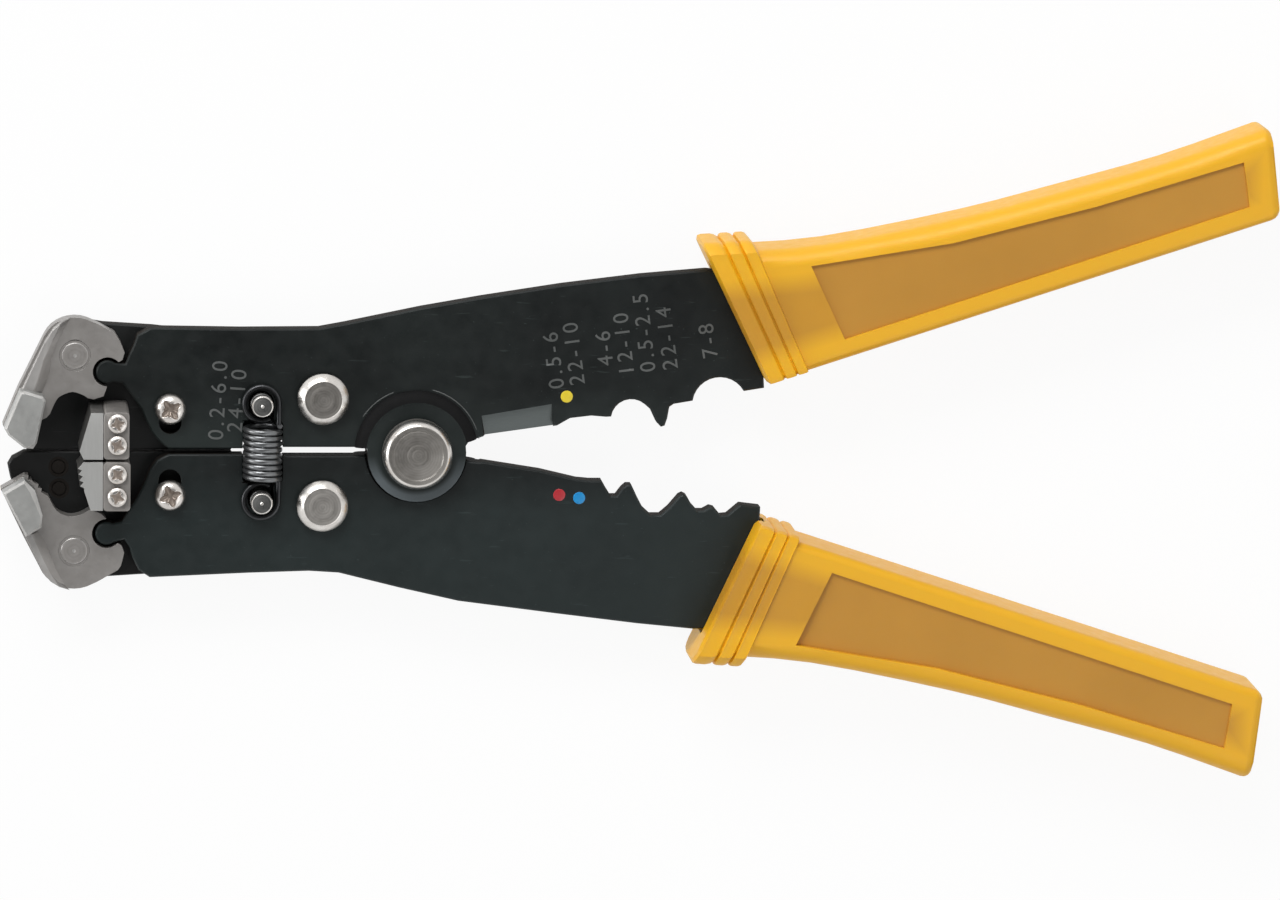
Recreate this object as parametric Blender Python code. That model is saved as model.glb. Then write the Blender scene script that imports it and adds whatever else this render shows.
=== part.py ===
"""Automatic wire stripper with yellow grips, modelled open and at rest.

The tool lies flat. X runs from the jaws (-X) to the grips (+X), Y runs from the lower arm
to the upper arm, and Z is up. The origin is on the main pivot's axis, at the flat rear face
of the pivot that the tool lies on. Sizes are in millimetres, and MM turns them into metres.
"""

import math

import bmesh
import bpy
from mathutils import Vector

MM = 0.001

# Layers, from the rest plane up
LAYER_GAP = 0.3
CARRIER_BOTTOM = 3.0
CARRIER_THICK = 3.0
ARM_THICK = 3.5
EAR_THICK = 3.0
GRIP_THICK = 15.0
FLANGE_THICK = 16.1
JAW_TIP_RISE = 4.5
BLADE_RISE = 5.0

CARRIER_TOP = CARRIER_BOTTOM + CARRIER_THICK
ARM_BOTTOM = CARRIER_TOP + LAYER_GAP
ARM_TOP = ARM_BOTTOM + ARM_THICK
ARM_MIDDLE = (ARM_BOTTOM + ARM_TOP) / 2
EAR_TOP = ARM_MIDDLE + LAYER_GAP / 2 + EAR_THICK
EAR_BOTTOM = 2 * ARM_MIDDLE - EAR_TOP
JAW_TIP_TOP = ARM_TOP + JAW_TIP_RISE
BLADE_TOP = ARM_TOP + BLADE_RISE

# Running and seating clearances
RUN_GAP = 0.3
SEAT_GAP = 0.3

# Main pivot
EAR_R = 7.9
EAR_STEP_R = 9.9
EAR_STEP_TOP_R = 8.1
EAR_STEP_STEPS = 4
ARM_EDGE = 0.25
PIVOT_SHANK_R = 3.5
PIVOT_CAP_R = 5.6
PIVOT_CAP_H = 3.0
PIVOT_CAP_CHAMFER = 0.9
PIVOT_RING_R = 3.9
PIVOT_GROOVE = 0.25

# Where the carriers turn on the arms
CARRIER_PIVOT = (-15.0, 8.6)
CARRIER_RIVET_R = 4.1
CARRIER_RIVET_H = 2.1
CARRIER_RIVET_CHAMFER = 1.05
CARRIER_RIVET_RING_R = 1.8
CARRIER_RIVET_GROOVE = 0.2
CARRIER_SHANK_R = 2.4
REAR_HEAD_R = 3.6
REAR_HEAD_H = 1.6

# Guide screws, which slide in the arms' slots
GUIDE_SCREW = (-39.3, 6.95)
GUIDE_SHANK_R = 1.5
GUIDE_HEAD_R = 2.5
GUIDE_HEAD_H = 1.9
GUIDE_TRAVEL = 2.3

# Spring and its posts
SPRING_POST = (-24.8, 7.8)
POST_R = 1.74
POST_RISE = 4.0
WIRE_R = 0.44
WIRE_SIDES = 6
COIL_R = 2.75
COIL_TURNS = 9
COIL_PITCH = 0.94
COIL_TURN_STEPS = 14
COIL_SINK = 2.4
LOOP_SWEEP = 300.0
LOOP_STEPS = 16
LOOP_LEAD = 1.3
SPRING_BAY_GAP = 0.4
SPRING_BAY_CORNER_R = 0.8

# Jaws, their pins and the arms' noses that drive them
UPPER_JAW_PIN = (-54.5, 15.4)
LOWER_JAW_PIN = (-54.5, -16.0)
JAW_PIN_R = 2.2
UPPER_NOSE = (-49.3, 12.8)
LOWER_NOSE = (-49.3, -13.2)
NOSE_R = 1.85
SOCKET_R = 2.36

# Stripping blades and their holders, either side of the carriers' split line
SPLIT_Y = -0.4
SPLIT_GAP = 0.3
HOLDER_LEFT = -50.5
HOLDER_RIGHT = -46.3
HOLDER_LENGTH = 7.5
HOLDER_CORNER_R = 0.7
BLADE_TIP_REACH = 3.4
BLADE_ROOT_REACH = 2.0
BLADE_FOOT = 1.5
BLADE_SCREW_X = -48.35
BLADE_SCREW_Y = (2.0, 5.5)
BLADE_SCREW_R = 1.6
BLADE_SCREW_H = 0.7
BLADE_SHANK_R = 0.9
BLADE_TEETH = 4
TOOTH_DEPTH = 0.45

# Stop rivets in the lower carrier
STOP_RIVETS = ((-56.9, -3.0), (-56.8, -6.5))
STOP_RIVET_R = 1.15

# Ground face behind the wire cutter's edge
CUTTER_GRIND_DEPTH = 1.5

# Grips
GRIP_OUTER_ROUND = 3.0
GRIP_INNER_ROUND = 1.4
GRIP_END_ROUND = 1.5
GRIP_ROUND_STEPS = 4
PANEL_DEPTH = 1.0
RIB_WIDTHS = (2.95, 2.1, 1.95)
RIB_GROOVE = 0.6
COLLAR_EDGE = 0.85
RIB_SHAPE = ((0.12, 0.3), (0.3, 0.0), (0.7, 0.0), (0.88, 0.3), (1.0, 1.0))
GRIP_SPAN_STEPS = 3
GRIP_LEAST_ROUND = 0.2
TANG_WALL = 4.4
LOWER_GRIP_SHIFT = (-1.9, -0.2)
LOWER_COLLAR_SHIFT = (-1.2, -0.1)

ROUND_SEGMENTS = 40
SMALL_SEGMENTS = 24

# Colours as red, green, blue, then metallic and roughness
MATERIALS = {
    "black_steel": ((0.012, 0.018, 0.018), 0.55, 0.42),
    "jaw_steel": ((0.42, 0.41, 0.40), 0.85, 0.45),
    "bright_steel": ((0.66, 0.64, 0.62), 1.0, 0.24),
    "spring_steel": ((0.09, 0.09, 0.09), 0.9, 0.32),
    "grip_plastic": ((0.83, 0.45, 0.045), 0.0, 0.38),
}


def clear_scene():
    for item in list(bpy.data.objects):
        bpy.data.objects.remove(item, do_unlink=True)


def material(name):
    found = bpy.data.materials.get(name)
    if found:
        return found
    colour, metallic, roughness = MATERIALS[name]
    made = bpy.data.materials.new(name)
    made.use_nodes = True
    shader = made.node_tree.nodes["Principled BSDF"]
    shader.inputs["Base Color"].default_value = (*colour, 1.0)
    shader.inputs["Metallic"].default_value = metallic
    shader.inputs["Roughness"].default_value = roughness
    return made


def arc(centre, radius, start, end, steps):
    """Points on an arc from start to end degrees, both ends included."""
    points = []
    for index in range(steps + 1):
        angle = math.radians(start + (end - start) * index / steps)
        points.append((centre[0] + radius * math.cos(angle), centre[1] + radius * math.sin(angle)))
    return points


def smooth_run(knots, steps):
    """A Catmull-Rom curve through knots of any dimension, with steps points per span."""
    points = []
    for index in range(len(knots) - 1):
        before = knots[max(index - 1, 0)]
        here = knots[index]
        there = knots[index + 1]
        after = knots[min(index + 2, len(knots) - 1)]
        for step in range(steps):
            t = step / steps
            points.append(tuple(
                0.5 * (2 * b + (c - a) * t + (2 * a - 5 * b + 4 * c - d) * t * t
                       + (3 * b - a - 3 * c + d) * t ** 3)
                for a, b, c, d in zip(before, here, there, after)))
    points.append(tuple(knots[-1]))
    return points


def signed_area(outline):
    total = 0.0
    for (x0, y0), (x1, y1) in zip(outline, outline[1:] + outline[:1]):
        total += x0 * y1 - x1 * y0
    return total / 2


def anticlockwise(outline):
    return list(outline) if signed_area(outline) > 0 else list(reversed(outline))


def grown(outline, distance):
    """The outline moved outward by distance, or inward where distance is negative."""
    outline = anticlockwise(outline)
    result = []
    for index, (x, y) in enumerate(outline):
        back = Vector((x, y)) - Vector(outline[index - 1])
        ahead = Vector(outline[(index + 1) % len(outline)]) - Vector((x, y))
        normal_back = Vector((back.y, -back.x)).normalized()
        normal_ahead = Vector((ahead.y, -ahead.x)).normalized()
        corner = normal_back + normal_ahead
        corner = corner / max(corner.dot(normal_back), 0.6)
        result.append((x + corner.x * distance, y + corner.y * distance))
    return result


def finish_mesh(name, mesh_data, colour, centre=(0.0, 0.0), cutter=False):
    """Turn a bmesh in millimetres into an object whose origin is at centre."""
    bmesh.ops.translate(mesh_data, vec=Vector((-centre[0], -centre[1], 0.0)), verts=mesh_data.verts)
    bmesh.ops.scale(mesh_data, vec=(MM, MM, MM), verts=mesh_data.verts)
    bmesh.ops.recalc_face_normals(mesh_data, faces=mesh_data.faces)
    mesh = bpy.data.meshes.new(name)
    mesh_data.to_mesh(mesh)
    mesh_data.free()
    mesh.shade_smooth()
    mesh.set_sharp_from_angle(angle=math.radians(32))
    item = bpy.data.objects.new(name, mesh)
    item.location = (centre[0] * MM, centre[1] * MM, 0.0)
    bpy.context.scene.collection.objects.link(item)
    if cutter:
        item.hide_render = True
        item.display_type = "WIRE"
    else:
        mesh.materials.append(material(colour))
    return item


def lofted(name, sections, colour=None, centre=(0.0, 0.0)):
    """A solid through closed sections of points in space, all with the same number of points."""
    mesh_data = bmesh.new()
    loops = [[mesh_data.verts.new(point) for point in section] for section in sections]
    count = len(loops[0])
    for low, high in zip(loops, loops[1:]):
        for index in range(count):
            after = (index + 1) % count
            mesh_data.faces.new((low[index], low[after], high[after], high[index]))
    mesh_data.faces.new(list(reversed(loops[0])))
    mesh_data.faces.new(loops[-1])
    return finish_mesh(name, mesh_data, colour, centre, cutter=colour is None)


def layered(name, rings, colour=None, centre=(0.0, 0.0)):
    """A solid from rings of (outline, z), bottom first."""
    sections = [[(x, y, height) for x, y in outline] for outline, height in rings]
    return lofted(name, sections, colour, centre)


def plate(name, outline, bottom, top, colour=None, centre=(0.0, 0.0), edge=0.0):
    """A flat plate with an optional chamfer along its top and bottom edges."""
    outline = anticlockwise(outline)
    if edge <= 0:
        return layered(name, [(outline, bottom), (outline, top)], colour, centre)
    inner = grown(outline, -edge)
    rings = [(inner, bottom), (outline, bottom + edge), (outline, top - edge), (inner, top)]
    return layered(name, rings, colour, centre)


def turned(name, profile, centre, colour=None, segments=ROUND_SEGMENTS):
    """A turned solid from a profile of (radius, z), top first, closed on its axis."""
    mesh_data = bmesh.new()
    loops = []
    for radius, height in profile:
        if radius <= 0:
            loops.append([mesh_data.verts.new((centre[0], centre[1], height))])
            continue
        ring = []
        for index in range(segments):
            angle = 2 * math.pi * index / segments
            ring.append(mesh_data.verts.new((
                centre[0] + radius * math.cos(angle), centre[1] + radius * math.sin(angle), height)))
        loops.append(ring)
    for high, low in zip(loops, loops[1:]):
        for index in range(segments):
            after = (index + 1) % segments
            corners = [high[index % len(high)], high[after % len(high)],
                       low[after % len(low)], low[index % len(low)]]
            distinct = list(dict.fromkeys(corners))
            mesh_data.faces.new(distinct)
    return finish_mesh(name, mesh_data, colour, centre, cutter=colour is None)


def cylinder_cutter(name, centre, radius, bottom, top, segments=ROUND_SEGMENTS):
    return turned(name, [(0, top), (radius, top), (radius, bottom), (0, bottom)], centre, None, segments)


def combine(target, other, operation):
    modifier = target.modifiers.new(other.name, "BOOLEAN")
    modifier.operation = operation
    modifier.solver = "EXACT"
    modifier.object = other


def cut(target, *cutters):
    for cutter in cutters:
        combine(target, cutter, "DIFFERENCE")


def slot_outline(start, end, radius, steps=10):
    """A round-ended slot from start to end."""
    heading = math.degrees(math.atan2(end[1] - start[1], end[0] - start[0]))
    return (arc(end, radius, heading - 90, heading + 90, steps)
            + arc(start, radius, heading + 90, heading + 270, steps))


def rounded_box(left, right, low, high, radius, steps=4):
    return (arc((right - radius, low + radius), radius, -90, 0, steps)
            + arc((right - radius, high - radius), radius, 0, 90, steps)
            + arc((left + radius, high - radius), radius, 90, 180, steps)
            + arc((left + radius, low + radius), radius, 180, 270, steps))


def toothed(start, end, count, depth):
    """A saw edge from start to end, with its teeth cut into the right-hand side."""
    run = Vector(end) - Vector(start)
    inward = Vector((run.y, -run.x)).normalized() * depth
    points = []
    for index in range(count):
        tip = Vector(start) + run * (index / count)
        root = Vector(start) + run * ((index + 0.5) / count) + inward
        points += [tuple(tip), tuple(root)]
    points.append(tuple(end))
    return points


# The arms' outlines follow the real plates: outer edge, tang, crimp dies and cutter edge
ARM_MOUTH_OUTER = (46.2, 29.3)
ARM_MOUTH_INNER = (55.6, 11.9)
GRIP_OUTER_KNOTS = [(50.6, 31.9), (65.1, 33.2), (87.4, 37.8), (103.4, 42.1), (119.4, 46.6), (134.6, 52.0)]
GRIP_INNER_START = (59.1, 12.8)
GRIP_INNER_END = (136.4, 38.1)
TANG_OUTER_X = (58.0, 72.0, 90.0, 118.0)
TANG_INNER_X = (118.0, 66.0)
PANEL_OUTLINE = [(62.3, 30.0), (85.0, 33.9), (108.0, 39.9), (131.5, 47.1), (132.6, 40.2), (67.9, 18.8)]

# The collar's ends: its outer and its inner end, each from the mouth to the back
COLLAR_OUTER = ((44.7, 33.1), (53.0, 33.7))
COLLAR_INNER = ((56.0, 11.2), (62.5, 13.3))


def grip_outer_y(x):
    """Height of the grip's outer edge above the midline at x."""
    for (x0, y0), (x1, y1) in zip(GRIP_OUTER_KNOTS, GRIP_OUTER_KNOTS[1:]):
        if x <= x1:
            break
    return y0 + (y1 - y0) * (x - x0) / (x1 - x0)


def grip_inner_y(x):
    (x0, y0), (x1, y1) = GRIP_INNER_START, GRIP_INNER_END
    return y0 + (y1 - y0) * (x - x0) / (x1 - x0)


def placed(points, side, shift=LOWER_GRIP_SHIFT):
    """Points of the upper grip, or where side is -1 the same points on the lower grip."""
    if side > 0:
        return points
    return [(x + shift[0], shift[1] - y) for x, y in points]


def tang_outline():
    """The bare strip of the upper arm that the grip hides, from its outer to its inner edge."""
    outer = [(x, grip_outer_y(x) - TANG_WALL) for x in TANG_OUTER_X]
    inner = [(x, grip_inner_y(x) + TANG_WALL) for x in TANG_INNER_X]
    return outer + inner


# Corners of the ground face behind the upper arm's cutter edge: its top line and its edge line
CUTTER_GRIND_TOP = ((10.4, 5.8), (21.6, 7.7))
CUTTER_GRIND_EDGE = ((11.1, 2.2), (22.1, 3.8))


def upper_arm_outline():
    outer_edge = [(-44.6, 18.7), (-42.4, 19.9), (-28.2, 19.7), (-15.7, 19.8), (-11.4, 20.6),
                  (0.6, 23.1), (10.2, 24.8), (23.0, 26.8), (35.8, 28.4), ARM_MOUTH_OUTER]
    big_crimp = arc((48.6, 7.6), 4.4, 30, 172, 12)
    tooth = [(41.2, 7.7), (40.5, 7.2), (40.2, 5.4), (39.8, 4.2), (39.2, 4.0), (38.5, 4.7), (37.5, 6.8)]
    small_crimp = arc((34.4, 5.2), 3.25, 50, 172, 8)
    stripper_edge = [(30.4, 5.6), (28.0, 5.8), (24.6, 5.4), (22.5, 4.2)]
    cutter_edge = [(11.2, 2.6), (10.0, 2.2), (8.2, 1.7), (7.4, 0.5)]
    front = [(-39.5, 0.5), (-40.4, 1.1), (-41.3, 2.0), (-42.2, 3.1), (-43.1, 4.9), (-43.9, 6.9),
             (-46.9, 11.0)]
    nose = arc(UPPER_NOSE, NOSE_R, 300, 50, 14)
    neck = [(-46.5, 14.1), (-45.8, 15.8), (-45.2, 17.0)]
    return (outer_edge + tang_outline() + [ARM_MOUTH_INNER, (55.7, 10.3), (52.6, 9.8)] + big_crimp
            + tooth + small_crimp + stripper_edge + cutter_edge + front + nose + neck)


def lower_arm_outline():
    outer_edge = [(-44.2, -19.1), (-42.4, -20.3), (-26.6, -19.6), (-17.0, -19.3), (-12.2, -19.6),
                  (-2.6, -22.0), (7.0, -24.2), (23.0, -26.3), (35.8, -27.9), (44.8, -28.8)]
    tang = placed(tang_outline(), -1)
    dies = [(55.3, -11.4), (55.4, -9.0), (52.1, -8.6), (50.1, -10.3), (49.0, -10.4), (48.0, -9.2),
            (47.3, -9.0), (46.2, -9.6), (45.2, -9.6), (44.3, -8.6), (43.5, -7.2), (42.9, -6.9),
            (42.3, -7.2), (40.7, -9.1), (39.3, -10.3), (37.7, -10.3), (36.5, -9.2), (35.5, -7.3),
            (34.6, -5.4), (33.8, -5.4), (33.1, -6.0), (32.2, -7.2), (31.3, -7.2), (30.6, -6.1),
            (29.8, -4.7), (27.9, -4.7), (25.8, -4.5)]
    cutter_edge = [(19.9, -3.1), (10.5, -1.6), (10.2, -1.7), (7.7, -1.4), (7.4, -0.4)]
    front = [(-39.5, -0.4), (-41.3, -1.3), (-42.4, -2.8), (-43.1, -4.5), (-43.7, -5.9), (-44.6, -7.6),
             (-46.9, -11.3)]
    nose = arc(LOWER_NOSE, NOSE_R, 60, 310, 14)
    neck = [(-46.5, -14.2), (-45.7, -15.4), (-45.2, -17.1)]
    return outer_edge + tang + dies + cutter_edge + front + nose + neck


def arm(name, outline, side):
    """An arm with its pivot ear joggled up (side 1) or down (side -1)."""
    def level(height):
        return ARM_MIDDLE + side * (height - ARM_MIDDLE)

    def span(low, high):
        return sorted((level(low), level(high)))

    body = plate(name, outline, ARM_BOTTOM, ARM_TOP, "black_steel", edge=ARM_EDGE)
    ear_face = ARM_MIDDLE + LAYER_GAP / 2
    buried = 0.8
    lip = 0.05
    rise = EAR_TOP - lip - ARM_TOP
    step_profile = [(0, level(EAR_TOP - lip))]
    for across, up in reversed(arc((EAR_STEP_TOP_R, 0), 1.0, 0, 90, EAR_STEP_STEPS)):
        radius = EAR_STEP_TOP_R + (across - EAR_STEP_TOP_R) * (EAR_STEP_R - EAR_STEP_TOP_R)
        step_profile.append((radius, level(ARM_TOP + up * rise)))
    step_profile += [(EAR_STEP_R, level(ARM_TOP - buried)), (0, level(ARM_TOP - buried))]
    if side < 0:
        step_profile.reverse()
    step = turned(name + "_step", step_profile, (0, 0))
    keep = plate(name + "_step_keep", outline, *span(ARM_BOTTOM + 1.0, EAR_TOP + 1.0))
    combine(step, keep, "INTERSECT")
    combine(body, step, "UNION")
    low, high = span(ear_face - buried, EAR_TOP)
    ear = cylinder_cutter(name + "_ear", (0, 0), EAR_R, low, high)
    combine(body, ear, "UNION")
    low, high = span(ARM_BOTTOM - 2.0, ear_face)
    cut(body, cylinder_cutter(name + "_ear_pocket", (0, 0), EAR_R + RUN_GAP, low, high))
    top = EAR_TOP + 1.0
    bottom = EAR_BOTTOM - 1.0
    cut(body, cylinder_cutter(name + "_pivot_hole", (0, 0), PIVOT_SHANK_R + RUN_GAP, bottom, top))
    rivet_at = (CARRIER_PIVOT[0], side * CARRIER_PIVOT[1])
    cut(body, cylinder_cutter(name + "_rivet_hole", rivet_at, CARRIER_SHANK_R + RUN_GAP, bottom, top))
    screw_at = (GUIDE_SCREW[0], side * GUIDE_SCREW[1])
    screw_to = (GUIDE_SCREW[0], side * (GUIDE_SCREW[1] - GUIDE_TRAVEL))
    guide = slot_outline(screw_at, screw_to, GUIDE_SHANK_R + RUN_GAP)
    cut(body, plate(name + "_guide_slot", guide, bottom, top))
    post_at = (SPRING_POST[0], side * SPRING_POST[1])
    post_slot = slot_outline(post_at, (SPRING_POST[0], 0.0), POST_R + RUN_GAP)
    cut(body, plate(name + "_post_slot", post_slot, bottom, top))
    half = COIL_R + WIRE_R + SPRING_BAY_GAP
    reach = COIL_TURNS * COIL_PITCH / 2 + WIRE_R + SPRING_BAY_GAP
    bay = rounded_box(SPRING_POST[0] - half, SPRING_POST[0] + half, -reach, reach, SPRING_BAY_CORNER_R)
    cut(body, plate(name + "_spring_bay", bay, bottom, top))
    return body


def cutter_grind(name):
    """The wedge that is ground away behind the upper arm's cutter edge."""
    beyond = 4.0
    (top_left, top_right), (edge_left, edge_right) = CUTTER_GRIND_TOP, CUTTER_GRIND_EDGE
    outside = [(edge_right[0], edge_right[1] - beyond), (edge_left[0], edge_left[1] - beyond)]
    low = [edge_left, edge_right] + outside
    high = [top_left, top_right] + outside
    return layered(name, [(low, ARM_TOP - CUTTER_GRIND_DEPTH), (high, ARM_TOP), (high, ARM_TOP + 1.0)])


def carrier_outline(side):
    """The plate under an arm that carries a jaw, a blade and a spring post."""
    pin = UPPER_JAW_PIN if side > 0 else LOWER_JAW_PIN
    split = SPLIT_Y + side * SPLIT_GAP / 2
    inner = split * side
    pin_y = pin[1] * side
    front = [(-62.0, inner), (-62.8, 3.0), (-62.2, 9.0)]
    if side < 0:
        front = [(-62.4, inner), (-64.3, inner + 1.0), (-65.0, inner + 2.2), (-64.6, 4.6), (-62.6, 10.0)]
    pin_round = arc((pin[0], pin_y), 4.9, 175, 80, 8)
    top = [(-50.0, 19.6), (-42.0, 19.1), (-30.0, 18.2)]
    end_round = arc(CARRIER_PIVOT, 5.2, 60, -90, 12)
    return [(x, y * side) for x, y in front + pin_round + top + end_round
            + [(-18.5, 2.6), (-20.5, 1.3), (-28.9, 1.3), (-29.4, inner)]]


def carrier(name, side):
    body = plate(name, carrier_outline(side), CARRIER_BOTTOM, CARRIER_TOP, "black_steel",
                 centre=(CARRIER_PIVOT[0], side * CARRIER_PIVOT[1]), edge=0.2)
    low, high = CARRIER_BOTTOM - 1.0, CARRIER_TOP + 1.0
    pin = UPPER_JAW_PIN if side > 0 else LOWER_JAW_PIN
    holes = [("rivet", CARRIER_PIVOT[0], side * CARRIER_PIVOT[1], CARRIER_SHANK_R),
             ("guide", GUIDE_SCREW[0], side * GUIDE_SCREW[1], GUIDE_SHANK_R),
             ("post", SPRING_POST[0], side * SPRING_POST[1], POST_R),
             ("pin", pin[0], pin[1], JAW_PIN_R)]
    for index, offset in enumerate(BLADE_SCREW_Y):
        holes.append((f"blade_{index + 1}", BLADE_SCREW_X, SPLIT_Y + side * offset, BLADE_SHANK_R))
    if side < 0:
        for index, (x, y) in enumerate(STOP_RIVETS):
            holes.append((f"stop_{index + 1}", x, y, STOP_RIVET_R))
    for label, x, y, radius in holes:
        cut(body, cylinder_cutter(f"{name}_{label}_hole", (x, y), radius + SEAT_GAP, low, high,
                                  SMALL_SEGMENTS))
    return body


def upper_jaw_outline():
    socket = arc(UPPER_NOSE, SOCKET_R, 42, 268, 14)
    back = arc(UPPER_JAW_PIN, 5.75, 150, 70, 8)
    heel = [(-50.9, 20.1), (-48.2, 18.8), (-47.3, 17.6), (-46.6, 15.9), (-46.95, 14.75)]
    lip = [(-49.9, 8.9), (-51.5, 8.4), (-52.4, 8.6)]
    throat = smooth_run([(-53.0, 9.0), (-54.8, 9.6), (-56.8, 8.9), (-57.6, 7.9), (-58.4, 6.1)], 3)
    tip = [(-58.9, 5.5), (-60.4, 5.1), (-61.3, 1.9)]
    end = [(-61.8, 0.9), (-62.6, 1.1), (-65.2, 3.1), (-65.9, 4.3)]
    return back + heel + socket + lip + throat + tip + end + [(-63.4, 10.4)]


def lower_jaw_outline():
    socket = arc(LOWER_NOSE, SOCKET_R, 92, 318, 14)
    back = arc(LOWER_JAW_PIN, 6.1, 290, 215, 8)
    heel = [(-46.95, -15.1), (-46.5, -16.3), (-47.0, -18.4), (-47.5, -19.1), (-50.8, -21.0)]
    grip_edge = toothed((-60.3, -6.5), (-62.4, -3.8), BLADE_TEETH, TOOTH_DEPTH)
    throat = smooth_run([(-58.6, -7.2), (-57.3, -9.5), (-55.4, -10.4), (-53.6, -10.2), (-52.0, -9.3)], 3)
    front = [(-62.5, -13.7), (-66.2, -6.0)]
    ring = back + front + list(reversed(grip_edge)) + throat + [(-50.2, -10.0)] + socket + heel
    return ring


def jaw_tip_outline(side):
    if side > 0:
        return [(-63.3, 10.2), (-62.4, 10.3), (-60.3, 9.4), (-59.9, 8.7), (-61.3, 2.0), (-61.9, 1.05),
                (-62.6, 1.2), (-65.1, 3.2), (-65.75, 4.3)]
    return [(-66.0, -6.05), (-62.5, -4.0), (-61.4, -5.6), (-60.2, -9.6), (-60.4, -11.6), (-62.3, -13.1)]


def jaw(name, side):
    pin = UPPER_JAW_PIN if side > 0 else LOWER_JAW_PIN
    outline = upper_jaw_outline() if side > 0 else lower_jaw_outline()
    body = plate(name, outline, ARM_BOTTOM, ARM_TOP, "jaw_steel", centre=pin)
    crown = anticlockwise(jaw_tip_outline(side))
    rings = [(crown, ARM_BOTTOM + 1.0), (crown, JAW_TIP_TOP - 0.45), (grown(crown, -0.35), JAW_TIP_TOP)]
    combine(body, layered(name + "_tip", rings), "UNION")
    cut(body, cylinder_cutter(name + "_pin_hole", pin, JAW_PIN_R + RUN_GAP, ARM_BOTTOM - 1.0,
                              ARM_TOP + 1.0))
    return body


def blade_holder(name, side):
    low = SPLIT_Y + side * SPLIT_GAP / 2
    high = low + side * HOLDER_LENGTH
    outline = rounded_box(HOLDER_LEFT, HOLDER_RIGHT, min(low, high), max(low, high), HOLDER_CORNER_R)
    bottom = ARM_BOTTOM + BLADE_FOOT + SEAT_GAP
    body = plate(name, outline, bottom, BLADE_TOP, "jaw_steel", edge=0.15)
    for index, offset in enumerate(BLADE_SCREW_Y):
        at = (BLADE_SCREW_X, SPLIT_Y + side * offset)
        cut(body, cylinder_cutter(f"{name}_hole_{index + 1}", at, BLADE_SHANK_R + SEAT_GAP,
                                  bottom - 1.0, BLADE_TOP + 1.0, SMALL_SEGMENTS))
    return body


def blade(name, side):
    """A stripping blade whose foot runs under its holder, where the screws hold it."""
    low = SPLIT_Y + side * SPLIT_GAP / 2
    high = low + side * (HOLDER_LENGTH - 0.2)
    face = HOLDER_LEFT - SEAT_GAP
    tip = face - BLADE_TIP_REACH
    root = face - BLADE_ROOT_REACH
    bevel_end = (face - BLADE_TIP_REACH + 0.8, low)
    edge = toothed((tip, low + side * 0.9), (tip + 0.15, low + side * 3.6), BLADE_TEETH, side * TOOTH_DEPTH)
    outline = [bevel_end] + edge + [(root - 0.5, high - side * 0.7), (root, high), (face, high), (face, low)]
    body = plate(name, outline, ARM_BOTTOM, BLADE_TOP, "jaw_steel")
    foot_inner = low + side * 0.3
    foot_outer = high - side * 0.3
    foot = rounded_box(face - 1.0, HOLDER_RIGHT, min(foot_inner, foot_outer), max(foot_inner, foot_outer),
                       HOLDER_CORNER_R)
    combine(body, plate(name + "_foot", foot, ARM_BOTTOM + 0.1, ARM_BOTTOM + BLADE_FOOT), "UNION")
    for index, offset in enumerate(BLADE_SCREW_Y):
        at = (BLADE_SCREW_X, SPLIT_Y + side * offset)
        cut(body, cylinder_cutter(f"{name}_hole_{index + 1}", at, BLADE_SHANK_R + SEAT_GAP,
                                  ARM_BOTTOM - 1.0, ARM_BOTTOM + BLADE_FOOT + 1.0, SMALL_SEGMENTS))
    return body


def cross_recess(name, at, top, reach, width, depth):
    """A cross-shaped cutter that narrows downwards."""
    def ring(scale):
        wide = width * scale / 2
        far = reach * scale
        return [(at[0] + x, at[1] + y) for x, y in (
            (far, -wide), (far, wide), (wide, wide), (wide, far), (-wide, far), (-wide, wide),
            (-far, wide), (-far, -wide), (-wide, -wide), (-wide, -far), (wide, -far), (wide, -wide))]
    return layered(name, [(ring(0.55), top - depth), (ring(1.0), top + 0.3)])


def screw(name, at, seat, head_r, head_h, shank_r, bottom):
    """A pan-head screw with a cross recess, whose head sits a gap above its seat."""
    under = seat + SEAT_GAP
    top = under + head_h
    profile = [(0, top), (head_r * 0.5, top - head_h * 0.08), (head_r * 0.85, top - head_h * 0.35),
               (head_r, top - head_h * 0.75), (head_r, under), (shank_r, under), (shank_r, bottom),
               (0, bottom)]
    body = turned(name, profile, at, "bright_steel", SMALL_SEGMENTS)
    cut(body, cross_recess(name + "_recess", at, top, head_r * 0.66, head_r * 0.36, head_h * 0.6))
    return body


def grooved_head(radius, chamfer, ring_r, base, height, groove):
    """A turned head from its axis to its rim: flat face, ring groove, bright chamfer."""
    top = base + height
    flat = radius - chamfer
    return [(0, top), (ring_r - groove, top), (ring_r, top - groove * 0.6), (ring_r + groove, top),
            (flat, top), (radius, top - chamfer), (radius, base)]


def main_pivot():
    base = EAR_TOP + LAYER_GAP
    rear = EAR_BOTTOM - LAYER_GAP
    profile = grooved_head(PIVOT_CAP_R, PIVOT_CAP_CHAMFER, PIVOT_RING_R, base, PIVOT_CAP_H, PIVOT_GROOVE)
    profile += [(PIVOT_SHANK_R, base), (PIVOT_SHANK_R, rear), (PIVOT_CAP_R, rear),
                (PIVOT_CAP_R, PIVOT_CAP_CHAMFER * 0.5), (PIVOT_CAP_R - PIVOT_CAP_CHAMFER * 0.5, 0), (0, 0)]
    return turned("main_pivot", profile, (0, 0), "bright_steel", ROUND_SEGMENTS + 8)


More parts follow.
